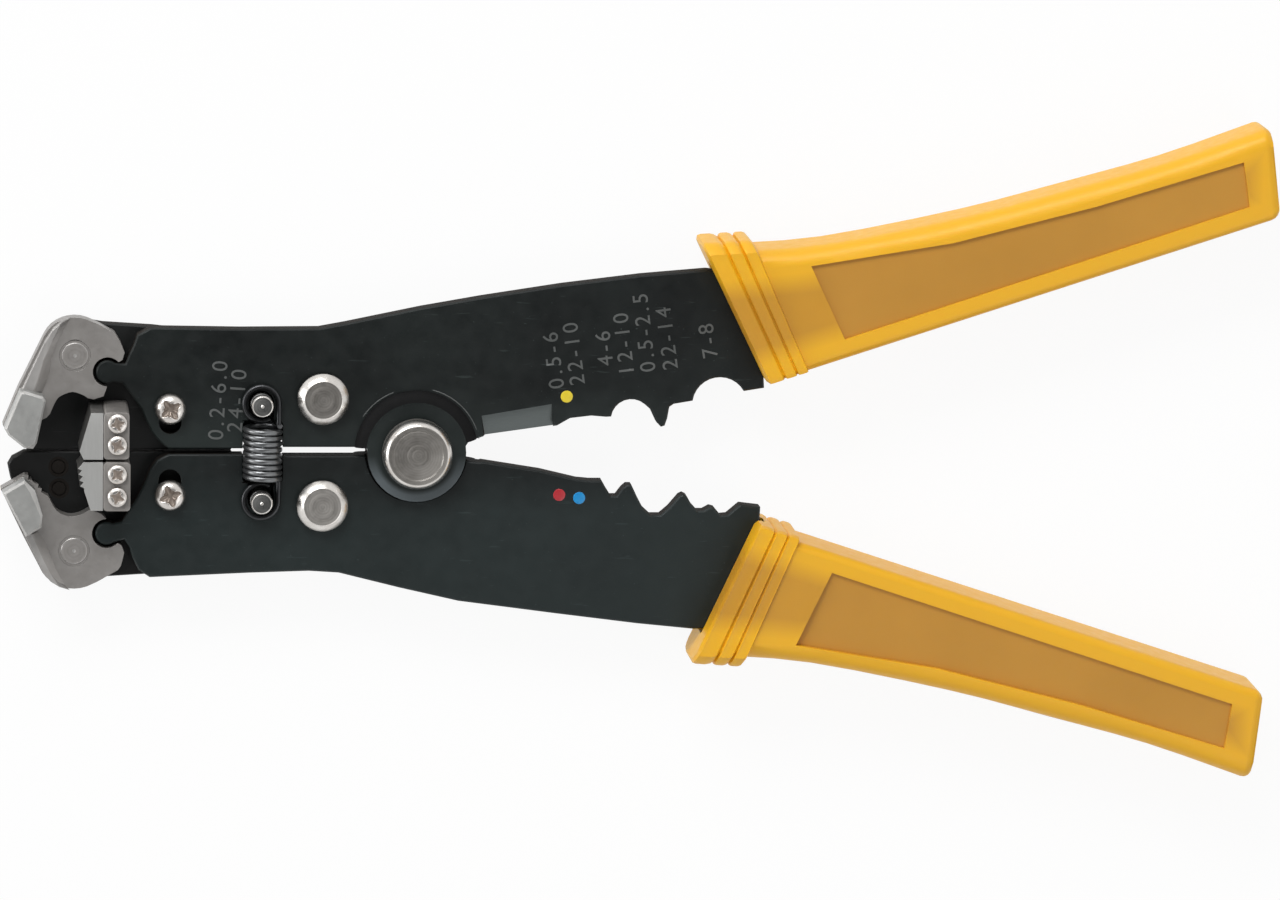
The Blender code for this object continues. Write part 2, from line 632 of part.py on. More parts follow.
def carrier_rivet(name, side):
    base = ARM_TOP + LAYER_GAP
    rear = CARRIER_BOTTOM - LAYER_GAP
    profile = grooved_head(CARRIER_RIVET_R, CARRIER_RIVET_CHAMFER, CARRIER_RIVET_RING_R, base,
                           CARRIER_RIVET_H, CARRIER_RIVET_GROOVE)
    profile += [(CARRIER_SHANK_R, base), (CARRIER_SHANK_R, rear), (REAR_HEAD_R, rear),
                (REAR_HEAD_R, rear - REAR_HEAD_H + 0.5), (REAR_HEAD_R - 0.5, rear - REAR_HEAD_H),
                (0, rear - REAR_HEAD_H)]
    return turned(name, profile, (CARRIER_PIVOT[0], side * CARRIER_PIVOT[1]), "bright_steel")


def jaw_pin(name, at):
    top = ARM_TOP + 0.1
    rear = CARRIER_BOTTOM - LAYER_GAP
    head = JAW_PIN_R + 0.9
    profile = [(0, top), (JAW_PIN_R - 0.15, top), (JAW_PIN_R, top - 0.15), (JAW_PIN_R, rear), (head, rear),
               (head, rear - 0.8), (head - 0.4, rear - 1.2), (0, rear - 1.2)]
    return turned(name, profile, at, "jaw_steel", SMALL_SEGMENTS + 8)


def spring_post(name, side):
    top = ARM_TOP + POST_RISE
    rear = CARRIER_BOTTOM - LAYER_GAP
    head = POST_R + 0.8
    profile = [(0, top), (POST_R - 0.2, top), (POST_R, top - 0.2), (POST_R, rear), (head, rear),
               (head, rear - 0.8), (head - 0.3, rear - 1.1), (0, rear - 1.1)]
    return turned(name, profile, (SPRING_POST[0], side * SPRING_POST[1]), "bright_steel", SMALL_SEGMENTS)


def stop_rivet(name, at):
    low = CARRIER_BOTTOM - 0.1
    high = CARRIER_TOP + 0.1
    profile = [(0, high), (STOP_RIVET_R - 0.2, high), (STOP_RIVET_R, high - 0.2),
               (STOP_RIVET_R, low + 0.2), (STOP_RIVET_R - 0.2, low), (0, low)]
    return turned(name, profile, at, "black_steel", SMALL_SEGMENTS)


def spring_path():
    """The wire's centre line: a loop round one post, the close coil, a loop round the other."""
    axis_z = ARM_TOP + COIL_R + WIRE_R - COIL_SINK
    post_x, post_y = SPRING_POST
    half = COIL_TURNS * COIL_PITCH / 2
    loop = [(x, y, axis_z) for x, y in arc(SPRING_POST, COIL_R, LOOP_SWEEP, 0, LOOP_STEPS)]
    lead = [(post_x + COIL_R, half + LOOP_LEAD, axis_z)]
    coil = []
    for index in range(COIL_TURNS * COIL_TURN_STEPS + 1):
        angle = 2 * math.pi * index / COIL_TURN_STEPS
        along = half - COIL_PITCH * index / COIL_TURN_STEPS
        coil.append((post_x + COIL_R * math.cos(angle), along, axis_z - COIL_R * math.sin(angle)))
    end = [(x, -y, z) for x, y, z in reversed(loop + lead)]
    return loop + lead + coil + end


def swept_wire(name, path, radius, sides, colour):
    """A round wire along path, with flat ends and a frame carried along the curve."""
    mesh_data = bmesh.new()
    points = [Vector(point) for point in path]
    normal = None
    rings = []
    for index, point in enumerate(points):
        ahead = points[min(index + 1, len(points) - 1)]
        behind = points[max(index - 1, 0)]
        heading = (ahead - behind).normalized()
        if normal is None:
            normal = heading.orthogonal().normalized()
        normal = (normal - heading * normal.dot(heading)).normalized()
        across = heading.cross(normal)
        ring = []
        for step in range(sides):
            angle = 2 * math.pi * step / sides
            ring.append(mesh_data.verts.new(
                point + (normal * math.cos(angle) + across * math.sin(angle)) * radius))
        rings.append(ring)
    for low, high in zip(rings, rings[1:]):
        for index in range(sides):
            after = (index + 1) % sides
            mesh_data.faces.new((low[index], low[after], high[after], high[index]))
    mesh_data.faces.new(list(reversed(rings[0])))
    mesh_data.faces.new(rings[-1])
    return finish_mesh(name, mesh_data, colour)


def round_section(outer, inner, middle, half, outer_round, inner_round, inset=0.0):
    """A grip's cross-section between two points: a box with round edges, shrunk by inset."""
    run = Vector(outer) - Vector(inner)
    width = run.length
    along = run / width
    near = max(inner_round - inset, GRIP_LEAST_ROUND)
    far = max(outer_round - inset, GRIP_LEAST_ROUND)
    low, high = -half + inset, half - inset
    start, stop = inset, width - inset
    flat = (arc((start + near, low + near), near, 180, 270, GRIP_ROUND_STEPS)
            + arc((stop - far, low + far), far, 270, 360, GRIP_ROUND_STEPS)
            + arc((stop - far, high - far), far, 0, 90, GRIP_ROUND_STEPS)
            + arc((start + near, high - near), near, 90, 180, GRIP_ROUND_STEPS))
    return [(inner[0] + along.x * s, inner[1] + along.y * s, middle + z) for s, z in flat]


def between(start, end, share):
    return (start[0] + (end[0] - start[0]) * share, start[1] + (end[1] - start[1]) * share)


def grip_body_sections(side):
    outer = smooth_run(GRIP_OUTER_KNOTS, GRIP_SPAN_STEPS)
    stations = []
    for index, point in enumerate(outer):
        share = index / (len(outer) - 1)
        stations.append((point, between(GRIP_INNER_START, GRIP_INNER_END, share), 0.0))
    last_outer, last_inner, _ = stations[-1]
    heading = (Vector(last_inner) - Vector(stations[-2][1])).normalized() * GRIP_END_ROUND
    for cosine, sine in arc((0, 0), 1.0, 0, 90, GRIP_ROUND_STEPS)[1:]:
        reach = heading * sine
        stations.append(((last_outer[0] + reach.x, last_outer[1] + reach.y),
                         (last_inner[0] + reach.x, last_inner[1] + reach.y),
                         GRIP_END_ROUND * (1 - cosine)))
    sections = []
    for outer_point, inner_point, inset in stations:
        ends = placed([outer_point, inner_point], side)
        sections.append(round_section(*ends, ARM_MIDDLE, GRIP_THICK / 2, GRIP_OUTER_ROUND,
                                      GRIP_INNER_ROUND, inset))
    return sections


def rib_profile():
    """Shares across the collar and how far the surface lies below the ribs' crests there."""
    total = sum(RIB_WIDTHS)
    points = [(0.0, COLLAR_EDGE)]
    done = 0.0
    for width in RIB_WIDTHS:
        for part, drop in RIB_SHAPE:
            points.append(((done + width * part) / total, RIB_GROOVE * drop))
        done += width
    points[-1] = (1.0, COLLAR_EDGE)
    return points


def collar_sections(side):
    """The ribbed collar at the grip's mouth, whose grooves run all the way round it."""
    sections = []
    for share, drop in rib_profile():
        ends = placed([between(COLLAR_OUTER[0], COLLAR_OUTER[1], share),
                       between(COLLAR_INNER[0], COLLAR_INNER[1], share)], side, LOWER_COLLAR_SHIFT)
        sections.append(round_section(*ends, ARM_MIDDLE, FLANGE_THICK / 2, GRIP_OUTER_ROUND,
                                      GRIP_INNER_ROUND, drop))
    return sections


def grip(name, side):
    body = lofted(name, grip_body_sections(side), "grip_plastic")
    combine(body, lofted(name + "_collar", collar_sections(side)), "UNION")
    low = ARM_MIDDLE - GRIP_THICK / 2
    high = ARM_MIDDLE + GRIP_THICK / 2
    panel = anticlockwise(placed(PANEL_OUTLINE, side))
    for label, bottom, top in (("front", high - PANEL_DEPTH, high + 1.0),
                               ("rear", low - 1.0, low + PANEL_DEPTH)):
        cut(body, plate(f"{name}_{label}_panel", panel, bottom, top))
    arm_ring = upper_arm_outline() if side > 0 else lower_arm_outline()
    pocket = grown(arm_ring, SEAT_GAP)
    cut(body, plate(name + "_tang_pocket", pocket, ARM_BOTTOM - SEAT_GAP, ARM_TOP + SEAT_GAP))
    return body


def build():
    clear_scene()
    upper = arm("upper_arm", upper_arm_outline(), 1)
    cut(upper, cutter_grind("upper_arm_cutter_grind"))
    arm("lower_arm", lower_arm_outline(), -1)
    main_pivot()
    for label, side, pin in (("upper", 1, UPPER_JAW_PIN), ("lower", -1, LOWER_JAW_PIN)):
        carrier(f"{label}_carrier", side)
        carrier_rivet(f"{label}_carrier_rivet", side)
        jaw(f"{label}_jaw", side)
        jaw_pin(f"{label}_jaw_pin", pin)
        blade_holder(f"{label}_blade_holder", side)
        blade(f"{label}_blade", side)
        for index, offset in enumerate(BLADE_SCREW_Y):
            screw(f"{label}_blade_screw_{index + 1}", (BLADE_SCREW_X, SPLIT_Y + side * offset), BLADE_TOP,
                  BLADE_SCREW_R, BLADE_SCREW_H, BLADE_SHANK_R, CARRIER_BOTTOM + 0.2)
        screw(f"{label}_guide_screw", (GUIDE_SCREW[0], side * GUIDE_SCREW[1]), ARM_TOP, GUIDE_HEAD_R,
              GUIDE_HEAD_H, GUIDE_SHANK_R, CARRIER_BOTTOM - 0.6)
        spring_post(f"{label}_spring_post", side)
        grip(f"{label}_grip", side)
    for index, at in enumerate(STOP_RIVETS):
        stop_rivet(f"stop_rivet_{index + 1}", at)
    swept_wire("tension_spring", spring_path(), WIRE_R, WIRE_SIDES, "spring_steel")


build()
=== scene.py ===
"""Looks of the automatic wire stripper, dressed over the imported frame. Sizes are in millimetres."""
import math

import bmesh
import bpy
from mathutils import Matrix, Vector


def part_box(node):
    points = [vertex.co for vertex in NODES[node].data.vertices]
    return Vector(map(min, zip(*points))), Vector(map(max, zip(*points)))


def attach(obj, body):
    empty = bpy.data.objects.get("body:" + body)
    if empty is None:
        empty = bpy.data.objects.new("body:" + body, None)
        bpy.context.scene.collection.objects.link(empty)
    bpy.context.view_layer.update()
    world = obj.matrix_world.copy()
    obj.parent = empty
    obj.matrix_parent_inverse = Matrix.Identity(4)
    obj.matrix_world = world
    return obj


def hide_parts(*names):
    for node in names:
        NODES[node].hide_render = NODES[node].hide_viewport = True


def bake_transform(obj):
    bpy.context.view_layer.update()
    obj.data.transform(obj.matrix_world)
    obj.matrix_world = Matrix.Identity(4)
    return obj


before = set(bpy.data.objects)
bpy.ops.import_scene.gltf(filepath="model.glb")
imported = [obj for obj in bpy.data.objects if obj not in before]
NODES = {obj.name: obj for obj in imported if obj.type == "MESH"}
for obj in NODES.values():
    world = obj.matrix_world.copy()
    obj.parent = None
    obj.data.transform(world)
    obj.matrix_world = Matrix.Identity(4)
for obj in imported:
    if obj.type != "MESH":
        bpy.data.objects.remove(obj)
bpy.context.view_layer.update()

MM = 0.001
SIDES = (("upper", 1), ("lower", -1))

# Layers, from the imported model
ARM_THICK = 3.5
ARM_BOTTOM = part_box("lower_jaw")[0].z / MM
ARM_TOP = ARM_BOTTOM + ARM_THICK
ARM_MIDDLE = (ARM_BOTTOM + ARM_TOP) / 2
CARRIER_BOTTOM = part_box("upper_carrier")[0].z / MM
CARRIER_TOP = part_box("upper_carrier")[1].z / MM
BLADE_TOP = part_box("upper_blade")[1].z / MM
GAP = 0.3
REAR_SEAT = CARRIER_BOTTOM - GAP

# Turned pieces
PIVOT_CAP_R = 5.6
PIVOT_CAP_H = 3.0
PIVOT_SHANK_R = 3.5
PIVOT_REAR = 4.6
PIVOT_REAR_CHAMFER = 0.45
RIVET_R = 4.1
RIVET_CHAMFER = 1.05
RIVET_SHANK_R = 2.4
RIVET_REAR_R = 3.6
RIVET_REAR_CHAMFER = 0.5
PIN_R = 2.2
PIN_REAR_R = 3.1
PIN_COLLAR = 0.26
POST_R = 1.74
POST_REAR_R = 2.54
POST_GROOVE = 0.18
SMALL_REAR_CHAMFER = 0.35
FINE_SEGMENTS = 72

# Screws: the head's radius and height, and the shank's radius
GUIDE_SCREW = (2.5, 1.9, 1.5)
BLADE_SCREW = (1.6, 0.7, 0.9)
SCREW_TURNS = {"upper_guide_screw": 35, "lower_guide_screw": 20, "upper_blade_screw_1": 62,
               "upper_blade_screw_2": 15, "lower_blade_screw_1": 40, "lower_blade_screw_2": 70}

# Spring
SPRING_X = -24.8
COIL_X = SPRING_X + 0.2
SPRING_POST_Y = 7.8
WIRE_R = 0.44
COIL_R = 2.75
COIL_TURNS = 9
COIL_PITCH = 0.94
COIL_SINK = 2.4
COIL_AXIS_Z = ARM_TOP + COIL_R + WIRE_R - COIL_SINK
COIL_HALF = COIL_TURNS * COIL_PITCH / 2
COIL_STEPS = 28
COIL_SIDES = 12
LOOP_START = 300
LOOP_STEPS = 44
LOOP_SIDES = 14
LOOP_LEAD = 1.3
LOOP_OVERLAP = 0.2

# The grips' outer edge is a slow curve and their inner edge a straight line
OUTER_START = (50.6, 31.9)
OUTER_SLOPE = 0.08
OUTER_BEND = 0.00195
INNER_START = (59.1, 12.8)
INNER_SLOPE = 0.327
GRIP_END_X = 138.0
PANEL_START_X = 61.5

# Camera: the photograph's frame is 1280 by 900 pixels, at 0.16 mm a pixel on the arms' face
PHOTO_WIDE = 1280
PHOTO_HIGH = 900
MM_PER_PIXEL = 0.16
PIVOT_PIXEL = (415.8, 451.7)
CAMERA_TILT = (-0.095, 0.152)
CAMERA_DISTANCE = 1500.0
SENSOR = 36.0

# Lights and stage, in metres. Each light has its name, place, size and watts.
LIGHTS = (("key", (-0.35, 0.95, 0.75), (0.9, 0.5), 11.0),
          ("side", (-1.1, 0.1, 0.4), (0.5, 0.5), 4.0),
          ("fill", (0.5, -0.5, 1.1), (0.9, 0.9), 3.0))
WORLD_LEVEL = 0.55
FLOOR_HALF = 3.0
FLOOR_PLACE = (0, 0, -0.0002)
FLOOR_GLOW = 0.92
CARD_HALF = 1.5
CARD_PLACE = (0.12, -0.25, 1.75)
CARD_LEVEL = 0.06


def centre_of(node):
    low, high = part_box(node)
    return ((low.x + high.x) / 2 / MM, (low.y + high.y) / 2 / MM)


def top_of(node):
    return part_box(node)[1].z / MM


def bottom_of(node):
    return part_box(node)[0].z / MM


# Camera, floor and light

def add_camera():
    back = Vector((*CAMERA_TILT, 1.0)).normalized()
    target = Vector((
        (PHOTO_WIDE / 2 - PIVOT_PIXEL[0]) * MM_PER_PIXEL,
        (PIVOT_PIXEL[1] - PHOTO_HIGH / 2) * MM_PER_PIXEL,
        ARM_TOP)) * MM
    data = bpy.data.cameras.new("camera")
    data.sensor_width = SENSOR
    data.lens = SENSOR * CAMERA_DISTANCE / (PHOTO_WIDE * MM_PER_PIXEL)
    data.clip_start = 0.05
    data.clip_end = 20.0
    camera = bpy.data.objects.new("camera", data)
    bpy.context.scene.collection.objects.link(camera)
    camera.location = target + back * CAMERA_DISTANCE * MM
    across = Vector((1, 0, 0))
    right = (across - back * across.dot(back)).normalized()
    camera.rotation_euler = Matrix((right, back.cross(right), back)).transposed().to_euler()
    bpy.context.scene.camera = camera


def add_area_light(name, location, size, energy):
    data = bpy.data.lights.new(name, "AREA")
    data.shape = "RECTANGLE"
    data.size = size[0]
    data.size_y = size[1]
    data.energy = energy
    light = bpy.data.objects.new(name, data)
    bpy.context.scene.collection.objects.link(light)
    light.location = location
    light.rotation_euler = (-Vector(location)).to_track_quat("-Z", "Y").to_euler()


def seen_ray(nodes, links):
    """1 for camera, glossy and transmission rays, 0 for the rays that light the object."""
    path = nodes.new("ShaderNodeLightPath")
    seen = path.outputs["Is Camera Ray"]
    for kind in ("Is Glossy Ray", "Is Transmission Ray"):
        either = nodes.new("ShaderNodeMath")
        either.operation = "MAXIMUM"
        links.new(seen, either.inputs[0])
        links.new(path.outputs[kind], either.inputs[1])
        seen = either.outputs[0]
    return seen


def mix_into(output, nodes, links, share, first, second):
    """Feed the output's surface with first where share is 0, and with second where it is 1."""
    mix = nodes.new("ShaderNodeMixShader")
    links.new(share, mix.inputs[0])
    links.new(first.outputs[0], mix.inputs[1])
    links.new(second.outputs[0], mix.inputs[2])
    links.new(mix.outputs[0], output.inputs["Surface"])


def bare_material(name):
    """A material with its output as the only node."""
    made = bpy.data.materials.new(name)
    made.use_nodes = True
    nodes, links = made.node_tree.nodes, made.node_tree.links
    nodes.clear()
    return made, nodes, links, nodes.new("ShaderNodeOutputMaterial")


def add_world():
    world = bpy.data.worlds.new("studio")
    bpy.context.scene.world = world
    world.use_nodes = True
    nodes, links = world.node_tree.nodes, world.node_tree.links
    nodes.clear()
    output = nodes.new("ShaderNodeOutputWorld")
    lit = nodes.new("ShaderNodeBackground")
    lit.inputs["Strength"].default_value = WORLD_LEVEL
    white = nodes.new("ShaderNodeBackground")
    white.inputs["Color"].default_value = (1, 1, 1, 1)
    white.inputs["Strength"].default_value = 1.0
    mix_into(output, nodes, links, seen_ray(nodes, links), lit, white)


def stage_plane(name, half, location, made):
    mesh = bpy.data.meshes.new(name)
    corners = [(-half, -half, 0), (half, -half, 0), (half, half, 0), (-half, half, 0)]
    mesh.from_pydata(corners, [], [(0, 1, 2, 3)])
    mesh.materials.append(made)
    item = bpy.data.objects.new(name, mesh)
    item.location = location
    bpy.context.scene.collection.objects.link(item)


def add_floor():
    made, nodes, links, output = bare_material("floor_white")
    paper = nodes.new("ShaderNodeBsdfDiffuse")
    paper.inputs["Color"].default_value = (0.86, 0.86, 0.86, 1)
    glow = nodes.new("ShaderNodeEmission")
    glow.inputs["Strength"].default_value = 1.0
    share = nodes.new("ShaderNodeMath")
    share.operation = "MULTIPLY"
    share.inputs[1].default_value = FLOOR_GLOW
    links.new(seen_ray(nodes, links), share.inputs[0])
    mix_into(output, nodes, links, share.outputs[0], paper, glow)
    stage_plane("floor", FLOOR_HALF, FLOOR_PLACE, made)


def add_overhead_card():
    """A soft dark card over the camera, which only reflections see, as the flat metal shows it."""
    made, nodes, links, output = bare_material("overhead_card")
    clear = nodes.new("ShaderNodeBsdfTransparent")
    glow = nodes.new("ShaderNodeEmission")
    place = nodes.new("ShaderNodeTexCoord")
    length = nodes.new("ShaderNodeVectorMath")
    length.operation = "LENGTH"
    fade = nodes.new("ShaderNodeMapRange")
    fade.interpolation_type = "SMOOTHSTEP"
    fade.inputs["From Min"].default_value = CARD_HALF * 0.5
    fade.inputs["From Max"].default_value = CARD_HALF
    fade.inputs["To Min"].default_value = CARD_LEVEL
    fade.inputs["To Max"].default_value = 1.0
    links.new(place.outputs["Object"], length.inputs[0])
    links.new(length.outputs["Value"], fade.inputs["Value"])
    links.new(fade.outputs["Result"], glow.inputs["Strength"])
    path = nodes.new("ShaderNodeLightPath")
    mix_into(output, nodes, links, path.outputs["Is Glossy Ray"], clear, glow)
    stage_plane("overhead_card", CARD_HALF, CARD_PLACE, made)


# Materials

class Surface:
    """A Principled material whose nodes read the object's own coordinates, in millimetres."""

    def __init__(self, name, metallic=0.0, roughness=0.4, specular=0.5, coat=0.0):
        self.material = bpy.data.materials.new(name)
        self.material.use_nodes = True
        self.nodes = self.material.node_tree.nodes
        self.links = self.material.node_tree.links
        self.shader = self.nodes["Principled BSDF"]
        self.shader.inputs["Metallic"].default_value = metallic
        self.shader.inputs["Roughness"].default_value = roughness
        self.shader.inputs["Specular IOR Level"].default_value = specular
        self.shader.inputs["Coat Weight"].default_value = coat
        place = self.nodes.new("ShaderNodeTexCoord")
        self.mapping = self.nodes.new("ShaderNodeMapping")
        self.mapping.inputs["Scale"].default_value = (1 / MM, 1 / MM, 1 / MM)
        self.links.new(place.outputs["Object"], self.mapping.inputs["Vector"])
        self.millimetres = self.mapping.outputs["Vector"]
        self.normal = None

    def feed(self, value, socket):
        if hasattr(value, "is_linked"):
            self.links.new(value, socket)
        else:
            socket.default_value = (*value, 1.0) if isinstance(value, tuple) else value

    def math(self, operation, first, second=0.0, clamp=False):
        node = self.nodes.new("ShaderNodeMath")
        node.operation = operation
        node.use_clamp = clamp
        self.feed(first, node.inputs[0])
        self.feed(second, node.inputs[1])
        return node.outputs[0]

    def stretched(self, stretch):
        node = self.nodes.new("ShaderNodeMapping")
        node.inputs["Scale"].default_value = stretch
        self.links.new(self.millimetres, node.inputs["Vector"])
        return node.outputs["Vector"]

    def noise(self, per_mm, detail=4.0, roughness=0.55, stretch=None):
        node = self.nodes.new("ShaderNodeTexNoise")
        node.inputs["Scale"].default_value = per_mm
        node.inputs["Detail"].default_value = detail
        node.inputs["Roughness"].default_value = roughness
        source = self.stretched(stretch) if stretch else self.millimetres
        self.links.new(source, node.inputs["Vector"])
        return node.outputs["Fac"]

    def spread(self, value, low, high, to_low=0.0, to_high=1.0):
        node = self.nodes.new("ShaderNodeMapRange")
        self.feed(value, node.inputs["Value"])
        node.inputs["From Min"].default_value = low
        node.inputs["From Max"].default_value = high
        node.inputs["To Min"].default_value = to_low
        node.inputs["To Max"].default_value = to_high
        return node.outputs["Result"]

    def mix(self, share, first, second):
        node = self.nodes.new("ShaderNodeMix")
        node.data_type = "RGBA"
        self.feed(share, node.inputs["Factor"])
        self.feed(first, node.inputs["A"])
        self.feed(second, node.inputs["B"])
        return node.outputs["Result"]

    def colour(self, value):
        self.links.new(value, self.shader.inputs["Base Color"])

    def roughness(self, value):
        self.links.new(value, self.shader.inputs["Roughness"])

    def bump(self, height, depth_mm, strength=1.0):
        node = self.nodes.new("ShaderNodeBump")
        node.inputs["Strength"].default_value = strength
        node.inputs["Distance"].default_value = depth_mm * MM
        self.links.new(height, node.inputs["Height"])
        if self.normal:
            self.links.new(self.normal, node.inputs["Normal"])
        self.normal = node.outputs["Normal"]
        self.links.new(self.normal, self.shader.inputs["Normal"])

    def axis(self, name):
        split = self.nodes.new("ShaderNodeSeparateXYZ")
        self.links.new(self.millimetres, split.inputs["Vector"])
        return split.outputs[name]

    def radius(self):
        """Distance from the object's own axis, in millimetres."""
        across, along = self.axis("X"), self.axis("Y")
        squares = self.math("ADD", self.math("MULTIPLY", across, across),
                            self.math("MULTIPLY", along, along))
        return self.math("SQRT", squares)


# The pale crescent painted low on the boss as a reflection: its colour, where it starts and is full outwards
# and downwards, and its end
EAR_REFLECTION_COLOUR = (0.088, 0.104, 0.112)
EAR_REFLECTION_OUTWARDS = (6.1, 6.9)
EAR_REFLECTION_DOWNWARDS = (-0.5, -4.5)
EAR_REFLECTION_END_R = 8.3


def black_wall(name, dark, pale):
    """The matt side walls of the blackened plates."""
    made = Surface(name, roughness=0.75, specular=0.1)
    made.colour(made.mix(made.noise(0.5, 4.0), dark, pale))
    made.bump(made.noise(2.5, 3.0), 0.04, 0.4)
    return made.material


def black_steel(name, dark, pale, across=None, painted_ear_reflection=False):
    """Oiled black oxide: near black, satin, with faint clouds, fine tooth and a few hairlines. across, if
    given, paints a sheen that pales the colour along y, and the boss can get a pale crescent painted as a
    reflection.
    """
    made = Surface(name, roughness=0.4, specular=0.3)
    clouds = made.spread(made.noise(0.07, 5.0), 0.35, 0.68)
    # painted sheen: the colour grows paler along y, from the first value of across to the second, as a broad
    # highlight
    if across:
        shade = made.spread(made.axis("Y"), *across)
        clouds = made.math("ADD", made.math("MULTIPLY", clouds, 0.35), made.math("MULTIPLY", shade, 0.65))
    base = made.mix(clouds, dark, pale)
    # painted reflection: a pale bluish crescent low on the boss's rim
    if painted_ear_reflection:
        rim = made.spread(made.radius(), *EAR_REFLECTION_OUTWARDS)
        low = made.spread(made.axis("Y"), *EAR_REFLECTION_DOWNWARDS)
        inside = made.math("LESS_THAN", made.radius(), EAR_REFLECTION_END_R)
        crescent = made.math("MULTIPLY", made.math("MULTIPLY", rim, low), inside)
        base = made.mix(crescent, base, EAR_REFLECTION_COLOUR)
    hair = made.noise(1.6, 2.0, stretch=(0.12, 1.0, 1.0))
    scratches = made.spread(hair, 0.69, 0.74, 0.0, 0.3)
    dust = made.spread(made.noise(2.6, 1.0), 0.77, 0.8, 0.0, 0.6)
    lighter = tuple(part * 2.4 + 0.006 for part in pale)
    made.colour(made.mix(made.math("MAXIMUM", scratches, dust), base, lighter))
    made.roughness(made.spread(made.noise(0.4, 5.0), 0.3, 0.7, 0.33, 0.5))
    made.bump(made.noise(5.0, 4.0), 0.02, 0.3)
    return made.material


def jaw_steel(name, dark, pale):
    """Cast and tumbled steel with a matt grey plating."""
    made = Surface(name, metallic=0.4, roughness=0.42)
    clouds = made.spread(made.noise(0.22, 5.0), 0.3, 0.7)
    made.colour(made.mix(clouds, dark, pale))
    made.roughness(made.spread(made.noise(1.2, 4.0), 0.3, 0.7, 0.34, 0.5))
    made.bump(made.noise(4.0, 5.0), 0.03, 0.35)
    made.bump(made.noise(0.35, 2.0), 0.3, 0.35)
    return made.material


def ground_steel(name, dark, pale, stretch, metallic=0.6):
    """Ground steel with fine straight grinding lines."""
    made = Surface(name, metallic=metallic, roughness=0.36)
    grain = made.noise(6.0, 4.0, stretch=stretch)
    made.colour(made.mix(grain, dark, pale))
    made.roughness(made.spread(grain, 0.3, 0.7, 0.3, 0.44))
    made.bump(grain, 0.012, 0.45)
    return made.material


def turned_steel(name, dark, pale, ring_mm=0.42, metallic=0.95, roughness=0.24):
    """Turned steel with fine lathe rings about the object's own axis."""
    made = Surface(name, metallic=metallic, roughness=roughness)
    radius = made.radius()
    wobble = made.math("MULTIPLY", made.noise(0.9, 2.0), 0.12)
    wide = made.math("SINE", made.math("MULTIPLY", made.math("ADD", radius, wobble),
                                       2 * math.pi / ring_mm))
    fine = made.math("SINE", made.math("MULTIPLY", radius, 2 * math.pi / (ring_mm * 0.37)))
    height = made.math("ADD", made.math("MULTIPLY", wide, 0.6), made.math("MULTIPLY", fine, 0.4))
    shade = made.spread(height, -1.0, 1.0)
    smudge = made.spread(made.noise(0.35, 4.0), 0.35, 0.65)
    made.colour(made.mix(made.math("MULTIPLY", made.math("ADD", shade, smudge), 0.5), dark, pale))
    made.roughness(made.spread(made.noise(1.4, 3.0), 0.3, 0.7, roughness - 0.05, roughness + 0.08))
    made.bump(height, 0.008, 0.4)
    return made.material


def polished_steel(name, dark, pale):
    """Bright steel with a soft sheen, for the rivets' chamfers and the screws' heads."""
    made = Surface(name, metallic=1.0, roughness=0.27)
    cloud = made.spread(made.noise(0.5, 2.0), 0.3, 0.7)
    made.colour(made.mix(cloud, dark, pale))
    made.bump(made.noise(1.2, 1.0), 0.004, 0.1)
    return made.material


def recess_steel(name):
    """A darker brownish colour in a screw's recess, painted shade."""
    made = Surface(name, metallic=0.5, roughness=0.4)
    made.colour(made.mix(made.noise(2.5, 3.0), (0.17, 0.135, 0.11), (0.34, 0.29, 0.25)))
    made.bump(made.noise(6.0, 3.0), 0.02, 0.4)
    return made.material


def from_outer_edge(made):
    """How far a point on a grip lies from the grip's outline, in millimetres."""
    along = made.axis("X")
    across = made.math("ABSOLUTE", made.axis("Y"))
    start = made.math("SUBTRACT", along, OUTER_START[0])
    bend = made.math("MULTIPLY", made.math("MULTIPLY", start, start), OUTER_BEND)
    slope = made.math("MULTIPLY", start, OUTER_SLOPE)
    outer = made.math("ADD", made.math("ADD", bend, slope), OUTER_START[1])
    inner_rise = made.math("MULTIPLY", made.math("SUBTRACT", along, INNER_START[0]), INNER_SLOPE)
    inner = made.math("ADD", inner_rise, INNER_START[1])
    nearest = made.math("MINIMUM", made.math("SUBTRACT", outer, across),
                        made.math("SUBTRACT", across, inner))
    return made.math("MINIMUM", nearest, made.math("SUBTRACT", GRIP_END_X, along))


def grip_plastic(name, dark, pale, roughness=0.42, edge=None):
    """Moulded yellow plastic with soft gloss and slight flow clouds; where edge is given, a painted
    highlight makes the colour brighter near the grip's outer edges.
    """
    made = Surface(name, roughness=roughness, specular=0.45)
    clouds = made.spread(made.noise(0.05, 4.0), 0.3, 0.7)
    base = made.mix(clouds, dark, pale)
    # painted highlight: the colour brightens towards edge near the grip's outer outline
    if edge:
        base = made.mix(made.spread(from_outer_edge(made), 6.6, 3.2), base, edge)
    made.colour(base)
    made.roughness(made.spread(made.noise(0.8, 3.0), 0.3, 0.7, roughness - 0.05, roughness + 0.08))
    made.bump(made.noise(3.2, 4.0), 0.03, 0.3)
    made.bump(made.noise(0.12, 2.0), 0.6, 0.25)
    made.shader.inputs["Subsurface Weight"].default_value = 0.1
    made.shader.inputs["Subsurface Radius"].default_value = (0.0016, 0.0007, 0.0002)
    return made.material


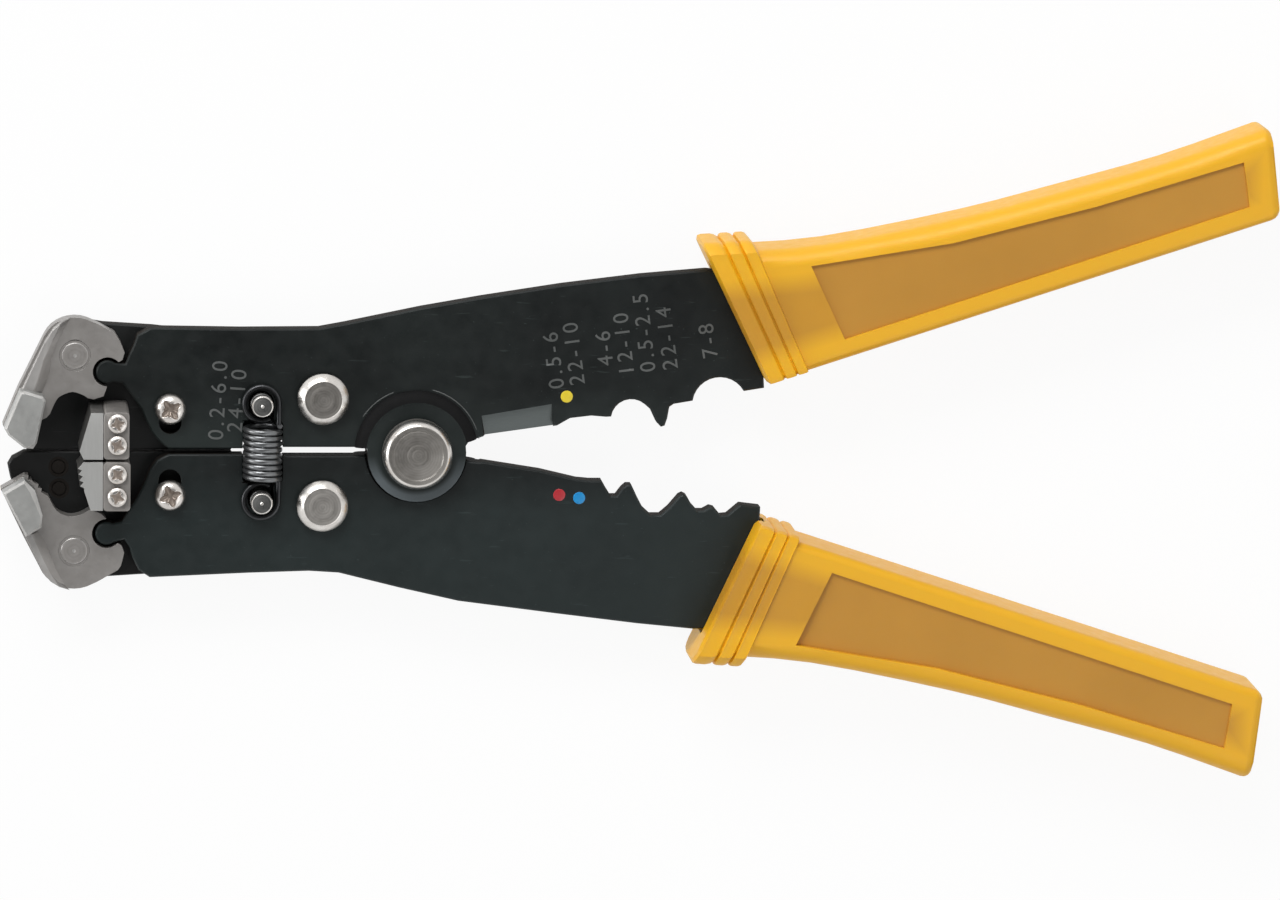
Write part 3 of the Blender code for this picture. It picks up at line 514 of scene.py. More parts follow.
def spring_steel(name, dark, pale):
    """Drawn spring wire with a fine grain."""
    made = Surface(name, metallic=0.9, roughness=0.3)
    made.colour(made.mix(made.noise(0.7, 4.0), dark, pale))
    made.bump(made.noise(9.0, 3.0), 0.01, 0.4)
    return made.material


def enamel(name, dark, pale):
    """A drop of enamel paint."""
    made = Surface(name, roughness=0.3, specular=0.5)
    made.colour(made.mix(made.noise(1.5, 3.0), dark, pale))
    made.bump(made.noise(2.0, 3.0), 0.04, 0.4)
    return made.material


# Shapes

SHARP_TURN = math.radians(32)
SAME_PLANE = math.radians(0.5)
SAME_POINT = 0.002
SMOOTH_TURN = math.radians(30)


def within(value, span):
    return span[0] < value < span[1]


def arc(centre, radius, start, end, steps):
    """Points on an arc from start to end degrees, both ends included."""
    points = []
    for index in range(steps + 1):
        angle = math.radians(start + (end - start) * index / steps)
        points.append((centre[0] + radius * math.cos(angle), centre[1] + radius * math.sin(angle)))
    return points


def new_piece(name, mesh_data, body, materials, centre=(0.0, 0.0)):
    """Turn a bmesh in millimetres, drawn round centre, into a piece that rides on body."""
    bmesh.ops.scale(mesh_data, vec=(MM, MM, MM), verts=mesh_data.verts)
    bmesh.ops.recalc_face_normals(mesh_data, faces=mesh_data.faces)
    mesh = bpy.data.meshes.new(name)
    mesh_data.to_mesh(mesh)
    mesh_data.free()
    mesh.shade_smooth()
    mesh.set_sharp_from_angle(angle=SMOOTH_TURN)
    for made in materials:
        mesh.materials.append(made)
    piece = bpy.data.objects.new(name, mesh)
    piece.location = (centre[0] * MM, centre[1] * MM, 0.0)
    bpy.context.scene.collection.objects.link(piece)
    if body:
        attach(piece, body)
    return piece


def softened(node, body, width, materials, segments=2, pick=None, weigh=None, moved=None,
             joined=True):
    """The CAD node's own shape with softly broken edges, which takes its place.

    pick gives a face its material and weigh an edge its share of the width. moved shifts the copied
    points. Level faces are joined into one first, unless joined is off.
    """
    shape = bmesh.new()
    shape.from_mesh(NODES[node].data)
    bmesh.ops.remove_doubles(shape, verts=shape.verts, dist=SAME_POINT * MM)
    if moved:
        side = 1 if node.startswith("upper") else -1
        for corner in shape.verts:
            corner.co = moved(corner.co / MM, side) * MM
    if joined:
        bmesh.ops.dissolve_limit(shape, angle_limit=SAME_PLANE, verts=shape.verts, edges=shape.edges)
    shape.normal_update()
    for face in shape.faces:
        face.smooth = True
        face.material_index = pick(face.calc_center_median() / MM, face.normal) if pick else 0
    weight = shape.edges.layers.float.new("bevel_weight_edge")
    for edge in shape.edges:
        sharp = len(edge.link_faces) == 2 and edge.calc_face_angle() > SHARP_TURN
        middle = (edge.verts[0].co + edge.verts[1].co) / 2 / MM
        edge[weight] = (weigh(middle) if weigh else 1.0) if sharp else 0.0
        edge.smooth = not sharp
    mesh = bpy.data.meshes.new(node + "_fine")
    shape.to_mesh(mesh)
    shape.free()
    for made in materials:
        mesh.materials.append(made)
    piece = bpy.data.objects.new(node + "_fine", mesh)
    bpy.context.scene.collection.objects.link(piece)
    bevel = piece.modifiers.new("broken_edges", "BEVEL")
    bevel.width = width * MM
    bevel.segments = segments
    bevel.limit_method = "WEIGHT"
    bevel.use_clamp_overlap = joined
    bevel.miter_outer = "MITER_ARC"
    level = piece.modifiers.new("level_faces", "WEIGHTED_NORMAL")
    level.weight = 90
    level.keep_sharp = True
    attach(piece, body)
    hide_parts(node)


def ring_of(mesh_data, points):
    return [mesh_data.verts.new(point) for point in points]


def bridge(mesh_data, low, high, index_of=0):
    count = len(low)
    for index in range(count):
        after = (index + 1) % count
        face = mesh_data.faces.new((low[index], low[after], high[after], high[index]))
        face.material_index = index_of


def turned_data(profile, segments=FINE_SEGMENTS):
    """A turned bmesh from a profile of (radius, z, material index), top first, with flat caps."""
    mesh_data = bmesh.new()
    loops = []
    for radius, height, _ in profile:
        points = []
        for index in range(segments):
            angle = 2 * math.pi * index / segments
            points.append((radius * math.cos(angle), radius * math.sin(angle), height))
        loops.append(ring_of(mesh_data, points))
    for (_, _, index_of), high, low in zip(profile, loops, loops[1:]):
        bridge(mesh_data, high, low, index_of)
    cap = mesh_data.faces.new(loops[0])
    cap.material_index = profile[0][2]
    mesh_data.faces.new(loops[-1])
    return mesh_data


def turned_piece(node, body, profile, materials):
    piece = new_piece(node + "_fine", turned_data(profile), body, materials, centre_of(node))
    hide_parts(node)


# Turned pieces, each from a profile of (radius, z, material index)

FACE, RIM, RECESS = 0, 1, 2


# The pivot's turned face and bright rim, as radii and drops below its top
PIVOT_FACE = ((0.25, 0.12), (0.6, 0.1), (0.95, 0.1), (1.05, 0.08), (1.15, 0.1), (1.65, 0.1), (1.75, 0.075),
              (1.9, 0.1), (3.75, 0.1), (3.92, 0.17), (4.12, 0), (4.55, 0.03))
PIVOT_RIM = ((4.75, 0.1), (5.0, 0.28), (5.25, 0.56), (5.45, 0.95))
PIVOT_RIM_DROP = 1.5


def main_pivot(materials):
    top = top_of("main_pivot")
    base = top - PIVOT_CAP_H
    profile = [(radius, top - drop, FACE) for radius, drop in PIVOT_FACE]
    profile += [(radius, top - drop, RIM) for radius, drop in PIVOT_RIM]
    profile += [(PIVOT_CAP_R, top - PIVOT_RIM_DROP, FACE), (PIVOT_CAP_R, base, FACE),
                (PIVOT_SHANK_R, base, FACE), (PIVOT_SHANK_R, PIVOT_REAR, FACE),
                (PIVOT_CAP_R, PIVOT_REAR, FACE), (PIVOT_CAP_R, PIVOT_REAR_CHAMFER, FACE),
                (PIVOT_CAP_R - PIVOT_REAR_CHAMFER, 0, FACE)]
    turned_piece("main_pivot", "lower_arm", profile, materials)


def carrier_rivet(side_name, body, materials):
    node = side_name + "_carrier_rivet"
    top = top_of(node)
    low = bottom_of(node)
    flat = RIVET_R - RIVET_CHAMFER
    profile = [(0.3, top - 0.05, FACE), (1.55, top - 0.03, FACE), (1.75, top - 0.07, FACE),
               (1.95, top - 0.02, FACE), (flat - 0.12, top, RIM), (flat + 0.05, top - 0.06, RIM),
               (RIVET_R - 0.12, top - 0.95, RIM), (RIVET_R, top - 1.1, RIM),
               (RIVET_R, ARM_TOP + GAP, FACE), (RIVET_SHANK_R, ARM_TOP + GAP, FACE),
               (RIVET_SHANK_R, REAR_SEAT, FACE), (RIVET_REAR_R, REAR_SEAT, FACE),
               (RIVET_REAR_R, low + RIVET_REAR_CHAMFER, FACE),
               (RIVET_REAR_R - RIVET_REAR_CHAMFER, low, FACE)]
    turned_piece(node, body, profile, materials)


def jaw_pin(side_name, materials):
    node = side_name + "_jaw_pin"
    top = top_of(node)
    low = bottom_of(node)
    collar = PIN_R + PIN_COLLAR
    profile = [(0.15, top - 0.04, RIM), (0.3, top - 0.1, FACE), (0.9, top - 0.06, FACE),
               (1.2, top - 0.08, FACE), (1.92, top - 0.04, FACE), (2.0, top - 0.01, RIM),
               (2.1, top - 0.08, FACE), (2.16, ARM_TOP - 0.04, FACE), (collar, ARM_TOP - 0.04, FACE),
               (collar, ARM_TOP - 1.0, FACE), (PIN_R, ARM_TOP - 1.0, FACE), (PIN_R, REAR_SEAT, FACE),
               (PIN_REAR_R, REAR_SEAT, FACE), (PIN_REAR_R, low + SMALL_REAR_CHAMFER, FACE),
               (PIN_REAR_R - SMALL_REAR_CHAMFER, low, FACE)]
    turned_piece(node, side_name + "_carrier", profile, materials)


def spring_post(side_name, materials):
    node = side_name + "_spring_post"
    top = top_of(node)
    low = bottom_of(node)
    profile = [(0.14, top - 0.02, RIM), (0.26, top - 0.1, FACE), (1.38, top - 0.04, FACE),
               (1.5, top, RIM), (1.62, top - 0.05, RIM), (POST_R, top - 0.22, FACE),
               (POST_R, top - 1.6, FACE), (POST_R - POST_GROOVE, top - 1.75, FACE),
               (POST_R - POST_GROOVE, top - 2.5, FACE), (POST_R, top - 2.65, FACE),
               (POST_R, REAR_SEAT, FACE), (POST_REAR_R, REAR_SEAT, FACE),
               (POST_REAR_R, low + SMALL_REAR_CHAMFER, FACE),
               (POST_REAR_R - SMALL_REAR_CHAMFER, low, FACE)]
    turned_piece(node, side_name + "_carrier", profile, materials)


def stop_rivet(index, material):
    node = f"stop_rivet_{index}"
    low, high = bottom_of(node), top_of(node)
    profile = [(0.9, high - 0.02, FACE), (1.02, high - 0.05, FACE), (1.06, high - 0.3, FACE),
               (1.16, high - 0.3, FACE), (1.2, high - 0.08, FACE), (1.62, high - 0.07, FACE),
               (1.62, high - 0.2, FACE), (1.15, high - 0.2, FACE), (1.15, low + 0.2, FACE),
               (0.95, low, FACE)]
    turned_piece(node, "lower_carrier", profile, [material])


def star_outline(reach, turn, points=48):
    """A cross recess with rounded lobes, in polar form."""
    outline = []
    for index in range(points):
        angle = 2 * math.pi * index / points
        lobe = 0.5 + 0.5 * math.cos(4 * angle)
        spur = 0.5 - 0.5 * math.cos(4 * angle)
        radius = reach * (0.42 + 0.58 * lobe ** 1.2 + 0.2 * spur ** 5)
        outline.append((radius * math.cos(angle + turn), radius * math.sin(angle + turn)))
    return outline


def screw(node, sizes, materials, at):
    """A pan head screw on its carrier, with a cross recess cut into it."""
    head_r, head_h, shank_r = sizes
    top, low = top_of(node), bottom_of(node)
    seat = top - head_h
    profile = [(head_r * 0.3, top, RIM)]
    for index in range(1, 7):
        angle = math.pi / 2 * index / 6
        profile.append((head_r * (0.3 + 0.7 * math.sin(angle)),
                        top - head_h * 0.75 * (1 - math.cos(angle)), RIM))
    profile += [(head_r, seat, RIM), (shank_r, seat, FACE), (shank_r, low + 0.2, FACE),
                (shank_r - 0.2, low, FACE)]
    body = node.split("_")[0] + "_carrier"
    piece = new_piece(node + "_fine", turned_data(profile, 48), body, materials, at)
    cutter_data = bmesh.new()
    star = star_outline(head_r * 0.84, math.radians(SCREW_TURNS[node]))
    rings = [(0.3, top - head_h * 0.5), (0.76, top - head_h * 0.3), (1.0, top + 0.3)]
    loops = [ring_of(cutter_data, [(x * share, y * share, height) for x, y in star])
             for share, height in rings]
    for lower, upper in zip(loops, loops[1:]):
        bridge(cutter_data, lower, upper)
    cutter_data.faces.new(loops[0])
    cutter_data.faces.new(loops[-1])
    cutter = new_piece(node + "_recess", cutter_data, None, [materials[RECESS]], at)
    cut = piece.modifiers.new("recess", "BOOLEAN")
    cut.operation = "DIFFERENCE"
    cut.solver = "EXACT"
    cut.object = cutter
    bpy.context.view_layer.update()
    carved = bpy.data.meshes.new_from_object(piece.evaluated_get(bpy.context.evaluated_depsgraph_get()))
    piece.modifiers.clear()
    piece.data = carved
    bpy.data.objects.remove(cutter, do_unlink=True)
    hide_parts(node)


# The ridge along each jaw's front edge: the edge itself, the foot of the slope and its crest
UPPER_RIDGE = ([(-63.05, 9.95), (-59.25, 18.1), (-57.9, 20.05), (-56.6, 21.1), (-55.2, 21.6)],
               [(-59.6, 9.6), (-58.6, 12.4), (-58.2, 15.2), (-57.2, 17.9), (-55.9, 20.4)],
               [(-61.2, 9.8), (-60.3, 12.3), (-59.6, 14.8), (-58.3, 17.6), (-56.9, 19.95)])
LOWER_RIDGE = ([(-62.6, -13.0), (-59.4, -19.4), (-58.2, -20.8), (-56.8, -21.7), (-55.2, -22.3)],
               [(-60.2, -12.9), (-59.0, -14.8), (-58.1, -17.0), (-57.2, -19.3), (-56.0, -21.4)],
               [(-61.3, -13.1), (-60.3, -15.2), (-59.4, -17.3), (-58.3, -19.4), (-57.0, -21.0)])
RIDGE_RISE = 1.3
RIDGE_SHARES = (1.0, 1.0, 0.95, 0.7, 0.12)


def between(start, end, share):
    return (start[0] * (1 - share) + end[0] * share, start[1] * (1 - share) + end[1] * share)


def jaw_ridge(side_name, side, materials):
    """A low ridge with a sloping back, lofted across the jaw's front edge."""
    edge, foot, crest = UPPER_RIDGE if side > 0 else LOWER_RIDGE
    mesh_data = bmesh.new()
    sections = []
    for front, back, top, share in zip(edge, foot, crest, RIDGE_SHARES):
        rise = RIDGE_RISE * share
        sections.append(ring_of(mesh_data, [
            (*front, ARM_TOP - 0.3), (*front, ARM_TOP + rise - 0.15),
            (*between(front, top, 0.1), ARM_TOP + rise), (*top, ARM_TOP + rise),
            (*between(top, back, 0.15), ARM_TOP + rise * 0.92),
            (*back, ARM_TOP + 0.02), (*back, ARM_TOP - 0.3)]))
    front_sides = (0, 1, 2)
    for start, end in zip(sections, sections[1:]):
        for index in range(len(start)):
            after = (index + 1) % len(start)
            face = mesh_data.faces.new((start[index], start[after], end[after], end[index]))
            face.material_index = 1 if index in front_sides else 0
    mesh_data.faces.new(sections[0])
    mesh_data.faces.new(sections[-1])
    new_piece(side_name + "_jaw_ridge", mesh_data, side_name + "_jaw", materials)


# Holders and blades. A holder's span runs from its end beside the split to the one away from it.
HOLDER_LEFT = -50.05
HOLDER_RIGHT = {"upper": -45.95, "lower": -45.75}
HOLDER_SPAN = {"upper": (-0.55, 7.05), "lower": (-0.95, -8.85)}
HOLDER_CORNER_R = 0.6
HOLDER_EDGE = 0.2
BLADE_SCREW_X = -47.85
BLADE_SCREW_Y = {"upper": (1.8, 5.3), "lower": (-2.85, -6.5)}
BLADE_SEAM = 0.06
BLADE_EDGE = 0.06
BLADE_TIP_REACH = 3.75
BLADE_ROOT_REACH = 1.95
BLADE_TEETH = 4
TOOTH_DEPTH = 0.65
TOOTH_PITCH = 0.95
FOOT_LIFT = 0.05
FOOT_FROM_Y = 5.0
FOOT_SPREAD = 0.7


def box_outline(left, right, low, high, radius):
    corners = ((right - radius, high - radius, 0), (left + radius, high - radius, 90),
               (left + radius, low + radius, 180), (right - radius, low + radius, 270))
    outline = []
    for x, y, start in corners:
        outline += arc((x, y), radius, start, start + 90, 5)
    return outline


def slab_data(outline, low, high, edge):
    """A plate with broken edges, from an anticlockwise outline."""
    mesh_data = bmesh.new()
    centre = (sum(x for x, _ in outline) / len(outline), sum(y for _, y in outline) / len(outline))
    reach = max(math.hypot(x - centre[0], y - centre[1]) for x, y in outline)
    share = 1 - edge / reach
    inset = [(centre[0] + (x - centre[0]) * share, centre[1] + (y - centre[1]) * share) for x, y in outline]
    middle = [((x + u) / 2 * 0.6 + x * 0.4, (y + v) / 2 * 0.6 + y * 0.4)
              for (x, y), (u, v) in zip(outline, inset)]
    levels = [(outline, low), (outline, high - edge), (middle, high - edge * 0.3), (inset, high)]
    rings = [ring_of(mesh_data, [(x, y, height) for x, y in ring]) for ring, height in levels]
    for lower, upper in zip(rings, rings[1:]):
        bridge(mesh_data, lower, upper)
    mesh_data.faces.new(rings[0])
    mesh_data.faces.new(rings[-1])
    return mesh_data


def spread_foot(slab):
    """Slope the upper side of a holder or blade outwards to its foot, and give the blade's front wall a
    darker material as painted shade.
    """
    for corner in slab.verts:
        if corner.co.z < CARRIER_TOP + 2 * FOOT_LIFT and corner.co.y > FOOT_FROM_Y:
            corner.co.y += FOOT_SPREAD
    slab.normal_update()
    for face in slab.faces:
        # painted shade: the blade's front wall takes the second, darker material
        if abs(face.normal.z) < 0.5 and face.calc_center_median().x < HOLDER_LEFT - 1.0:
            face.material_index = 1


def blade_holder(side_name, made):
    low, high = sorted(HOLDER_SPAN[side_name])
    outline = box_outline(HOLDER_LEFT, HOLDER_RIGHT[side_name], low, high, HOLDER_CORNER_R)
    slab = slab_data(outline, CARRIER_TOP + FOOT_LIFT, BLADE_TOP, HOLDER_EDGE)
    spread_foot(slab)
    piece = new_piece(side_name + "_blade_holder_fine", slab, side_name + "_carrier", [made])
    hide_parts(side_name + "_blade_holder")


def blade(side_name, side, materials):
    """The upper blade has a plain edge, and the lower one four teeth."""
    near, far = HOLDER_SPAN[side_name]
    face = HOLDER_LEFT - BLADE_SEAM
    tip = (face - BLADE_TIP_REACH, near + side * 1.35)
    root = (face - BLADE_ROOT_REACH, far - side * 0.1)
    edge = [tip]
    if side < 0:
        for index in range(BLADE_TEETH):
            start = near - 0.7 - index * TOOTH_PITCH
            point = tip[0] - 0.25 + index * 0.12
            edge += [(point, start - 0.3), (point + TOOTH_DEPTH, start - 0.62)]
        edge = edge[1:] + [(tip[0] + 0.75, near - 4.6)]
    outline = [(face, near), (tip[0] + 0.65, near)] + edge + [root, (face, far - side * 0.1)]
    if side > 0:
        outline.reverse()
    slab = slab_data(outline, CARRIER_TOP + FOOT_LIFT, BLADE_TOP - 0.02, BLADE_EDGE)
    spread_foot(slab)
    piece = new_piece(side_name + "_blade_fine", slab, side_name + "_carrier", materials)
    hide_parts(side_name + "_blade")


# Spring

def wire_data(path, radius, sides):
    """A round wire along path, with flat ends and a frame carried along the curve."""
    mesh_data = bmesh.new()
    points = [Vector(point) for point in path]
    normal = None
    rings = []
    for index, point in enumerate(points):
        ahead = points[min(index + 1, len(points) - 1)]
        behind = points[max(index - 1, 0)]
        heading = (ahead - behind).normalized()
        if normal is None:
            normal = heading.orthogonal().normalized()
        normal = (normal - heading * normal.dot(heading)).normalized()
        across = heading.cross(normal)
        ring = []
        for step in range(sides):
            angle = 2 * math.pi * step / sides
            ring.append(point + (normal * math.cos(angle) + across * math.sin(angle)) * radius)
        rings.append(ring_of(mesh_data, ring))
    for low, high in zip(rings, rings[1:]):
        bridge(mesh_data, low, high)
    mesh_data.faces.new(rings[0])
    mesh_data.faces.new(rings[-1])
    return mesh_data


def spring_loop(side_name, side, made):
    """One end loop with the lead that runs into the coil."""
    loop = arc((SPRING_X, SPRING_POST_Y), COIL_R, LOOP_START, 0, LOOP_STEPS)
    loop += [(SPRING_X + COIL_R, COIL_HALF + LOOP_LEAD), (SPRING_X + COIL_R, COIL_HALF + LOOP_OVERLAP)]
    path = [(x, y * side, COIL_AXIS_Z) for x, y in loop]
    new_piece(f"spring_loop_{side_name}", wire_data(path, WIRE_R, LOOP_SIDES), side_name + "_carrier",
              [made])


def spring_coil(made):
    """The close-wound coil, built in place and attached to neither arm."""
    path = []
    for index in range(COIL_TURNS * COIL_STEPS + 1):
        angle = 2 * math.pi * index / COIL_STEPS
        along = COIL_HALF - COIL_PITCH * index / COIL_STEPS
        path.append((COIL_X + COIL_R * math.cos(angle), along, COIL_AXIS_Z - COIL_R * math.sin(angle)))
    piece = new_piece("spring_coil", wire_data(path, WIRE_R, COIL_SIDES), None, [made])
    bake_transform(piece)
    return piece


def add_spring():
    coil = spring_coil(spring_steel("spring_finish", (0.1, 0.104, 0.108), (0.24, 0.245, 0.25)))
    made = spring_steel("spring_loop_finish", (0.03, 0.031, 0.033), (0.07, 0.072, 0.075))
    for side_name, side in SIDES:
        spring_loop(side_name, side, made)
    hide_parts("tension_spring")


# Marks on the arms

MARK_DEPTH = 0.05
FIGURE_SIZE = 3.5
FIGURE_SPACING = 1.3
DOT_R = 1.0

# Paint dots: the colour's name, the arm, the place, and the dark and pale shade
DOTS = (("yellow", "upper_arm", (24.0, 8.9), (0.66, 0.5, 0.022), (0.76, 0.6, 0.035)),
        ("red", "lower_arm", (23.0, -7.0), (0.36, 0.014, 0.022), (0.46, 0.03, 0.04)),
        ("blue", "lower_arm", (26.2, -7.5), (0.004, 0.2, 0.5), (0.01, 0.27, 0.6)))


def paint_dot(name, body, at, made):
    top = ARM_TOP + MARK_DEPTH
    profile = [(DOT_R * 0.7, top, FACE), (DOT_R * 0.92, top - 0.02, FACE), (DOT_R, ARM_TOP - 0.02, FACE)]
    new_piece(name, turned_data(profile, 40), body, [made], at)


# Size numbers: the figures, where their column starts, and its angle in degrees
UPPER_FIGURES = (("0.5-6", (23.6, 10.3), 98), ("22-10", (26.9, 10.9), 98), ("4-6", (31.4, 14.0), 97),
                 ("12-10", (34.8, 12.4), 97), ("0.5-2.5", (38.2, 13.0), 97), ("22-14", (41.8, 13.4), 98),
                 ("7-8", (48.2, 15.3), 100), ("0.2-6.0", (-30.9, 1.8), 87), ("24-10", (-27.9, 3.0), 86))


def figures(name, body, marks, made):
    """Raised size numbers, joined into one thin mesh."""
    data = bpy.data.curves.new(name, "FONT")
    data.size = FIGURE_SIZE
    data.space_character = FIGURE_SPACING
    parts = bmesh.new()
    for text, start, angle in marks:
        data.body = text
        carrier = bpy.data.objects.new(name + "_draft", data)
        bpy.context.scene.collection.objects.link(carrier)
        carrier.rotation_euler.z = math.radians(angle)
        carrier.location = (start[0], start[1], ARM_TOP + MARK_DEPTH * 0.5)
        bpy.context.view_layer.update()
        flat = bpy.data.meshes.new_from_object(
            carrier.evaluated_get(bpy.context.evaluated_depsgraph_get()))
        flat.transform(carrier.matrix_world)
        parts.from_mesh(flat)
        bpy.data.objects.remove(carrier, do_unlink=True)
        bpy.data.meshes.remove(flat)
    faces = bmesh.ops.extrude_face_region(parts, geom=list(parts.faces))
    lowered = [item for item in faces["geom"] if isinstance(item, bmesh.types.BMVert)]
    bmesh.ops.translate(parts, vec=(0, 0, -MARK_DEPTH), verts=lowered)
    new_piece(name, parts, body, [made])


EAR_LINE_R = 10.25
EAR_LINE_SPANS = ((12, 84), (106, 152))
EAR_LINE_STEPS = 26
EAR_LINE_WIRE_R = 0.09
EAR_LINE_SIDES = 8
EAR_LINE_SINK = 0.07


def ear_line(start, end, made):
    """A fine lip round the boss, which tapers at both ends; in the paler figure colour it stands in for the
    bright line along the boss's edge, partly shape and partly painted highlight.
    """
    path = [(x, y, ARM_TOP + 0.02) for x, y in arc((0, 0), EAR_LINE_R, start, end, EAR_LINE_STEPS)]
    lip = wire_data(path, EAR_LINE_WIRE_R, EAR_LINE_SIDES)
    base = ARM_TOP - EAR_LINE_SINK
    for index, corner in enumerate(lip.verts):
        share = math.sin(math.pi * (index // EAR_LINE_SIDES / EAR_LINE_STEPS))
        corner.co.z = base + (corner.co.z - base) * (0.1 + 0.9 * share)
    new_piece(f"ear_line_{start}", lip, "upper_arm", [made])


# Copied shapes, moved a little where the photograph differs from the solids

BAY_HALF = 5.3
BAY_LEFT_WALL = (-28.7, -28.0)
BAY_LEFT_SHIFT = 0.66
BAY_RIGHT_WALL = (-21.5, -21.0)
BAY_RIGHT_SHIFT = -0.08
SPLIT_HALF = 0.8
SPLIT_SPAN = (-21.7, -7.0)
SPLIT_SPREAD = 0.22


def shape_arm(place, side):
    """The split right of the spring a little wider, and the spring's bay closer to the coil."""
    x, y = place.x, place.y
    if abs(y) < BAY_HALF and within(x, BAY_LEFT_WALL):
        x += BAY_LEFT_SHIFT
    if abs(y) < BAY_HALF and within(x, BAY_RIGHT_WALL):
        x += BAY_RIGHT_SHIFT
    if abs(y) < SPLIT_HALF and within(x, SPLIT_SPAN):
        y += SPLIT_SPREAD * side
    return Vector((x, y, place.z))


CARRIER_EDGE_Y = 16.0
CARRIER_RAMP_START = -30.0
CARRIER_RAMP_LENGTH = 12.0
UPPER_CARRIER_SHIFT = 0.5
LOWER_CARRIER_SHIFT = -1.2


def shape_carrier(place, side):
    """The front ends reach a little further out than the solid ones."""
    if place.y * side < CARRIER_EDGE_Y:
        return place
    share = min(1.0, max(0.0, (CARRIER_RAMP_START - place.x) / CARRIER_RAMP_LENGTH))
    shift = UPPER_CARRIER_SHIFT if side > 0 else LOWER_CARRIER_SHIFT
    return Vector((place.x, place.y + shift * share, place.z))


CROWN_FROM_Y = 17.5
CROWN_RAMP = 2.0
CROWN_LIFT = 0.4

# The inner edge of each tip's pad, along x and y, and how far it moves
UPPER_PAD = ((-61.95, -59.0), (1.0, 9.6), 0.7)
LOWER_PAD = ((-61.6, -59.6), (-12.0, -5.0), 0.55)


def shape_jaw(place, side):
    """The upper jaw's crown a little higher, and both tips' pads wider."""
    x, y = place.x, place.y
    along, across, shift = UPPER_PAD if side > 0 else LOWER_PAD
    if place.z > ARM_TOP - 0.01 and within(x, along) and within(y, across):
        x += shift
    if side > 0 and y > CROWN_FROM_Y:
        y += CROWN_LIFT * min(1.0, (y - CROWN_FROM_Y) / CROWN_RAMP)
    return Vector((x, y, place.z))


PANEL_BORDER = 2.5
PANEL_FLOOR = (6.3, 6.7)
PANEL_FACES = (5.5, 7.3)
PANEL_LIFT = 0.5
COLLAR_LINE_X = 52.8
COLLAR_LINE_Y = 33.7
COLLAR_LEAN = 0.4657
RIB_GROOVES = (7.3, 7.9)
RIB_LIFT = 0.3
INNER_COLLAR_SHARE = 0.15
GRIP_WIDENING = 0.045
LOWER_GRIP_SHIFT = 0.45
LOWER_GRIP_STRETCH = 0.008


def outer_line(x):
    """How far from the middle the grips' outer edge runs."""
    along = x - OUTER_START[0]
    return OUTER_START[1] + OUTER_SLOPE * along + OUTER_BEND * along ** 2


def inner_line(x):
    """How far from the middle the grips' inner edge runs."""
    return INNER_START[1] + INNER_SLOPE * (x - INNER_START[0])


def shape_grip(place, side):
    """Wider than the solid grip, with a shallow panel and a collar flush on its inner side."""
    x, y, rise = place.x, place.y * side, place.z - ARM_MIDDLE
    border = min(outer_line(x) - y, y - inner_line(x))
    if border > PANEL_BORDER and x > PANEL_START_X and within(abs(rise), PANEL_FLOOR):
        rise += math.copysign(PANEL_LIFT, rise)
    if x < COLLAR_LINE_X + (COLLAR_LINE_Y - y) * COLLAR_LEAN and within(abs(rise), RIB_GROOVES):
        rise += math.copysign(RIB_LIFT, rise)
    if y < inner_line(x):
        y = inner_line(x) + (y - inner_line(x)) * INNER_COLLAR_SHARE
    if side > 0:
        y += (y - inner_line(x)) * GRIP_WIDENING
    else:
        y += (y - (outer_line(x) + inner_line(x)) / 2) * GRIP_WIDENING
        ramp = min(1.0, max(0.0, (y - 15.0) / 12.0, (x - 58.0) / 6.0))
        x += LOWER_GRIP_SHIFT * ramp + max(0.0, x - 62.0) * LOWER_GRIP_STRETCH
    return Vector((x, y * side, ARM_MIDDLE + rise))


# Which material a face of a copied shape gets, and how far an edge is broken

GROUND_SPAN = (10.0, 22.3)
GROUND_BELOW_Y = 9.0
GROUND_SLOPE = (0.3, 0.985)
BOSS_SLOPE = (8.05, 9.95)
EAR_EDGE_R = 8.4


def on_plate(centre, normal):
    """1 for a plate's side walls, 0 for its level faces."""
    return 1 if abs(normal.z) < 0.3 and centre.z < ARM_TOP else 0


def on_upper_arm(centre, normal):
    """1 for the cutter's ground face, 2 for the side walls, 3 for the boss's slope, 0 for the rest."""
    ground = within(centre.x, GROUND_SPAN) and centre.y < GROUND_BELOW_Y and centre.z > ARM_MIDDLE
    if ground and within(normal.z, GROUND_SLOPE):
        return 1
    if within(math.hypot(centre.x, centre.y), BOSS_SLOPE) and centre.z > ARM_TOP + 0.02:
        return 3
    return on_plate(centre, normal) * 2


def ear_share(middle):
    """The boss has a rounder edge than the rest of its arm."""
    return 0.35 if math.hypot(middle.x, middle.y) < EAR_EDGE_R and middle.z > ARM_TOP + 1.2 else 0.1


def on_jaw(centre, normal):
    """1 for the tip's faces, 2 for the tip's walls and chamfers, painted brighter as a highlight, and for
    the paler level faces higher on the jaw, 0 for the jaw's body.
    """
    if centre.z > ARM_TOP + 3.9:
        return 1 if normal.z > 0.9 else 2
    if centre.z > ARM_TOP + 1.2 and normal.z > 0.9:
        return 2
    return 1 if centre.z > ARM_TOP + 1.5 else 0


def on_grip(centre, normal):
    """1 for the sunk faces of a grip's panels, 0 for the rest."""
    sunk = within(abs(centre.z - ARM_MIDDLE), PANEL_FACES)
    return 1 if abs(normal.z) > 0.99 and sunk and centre.x > PANEL_START_X else 0


# Everything together


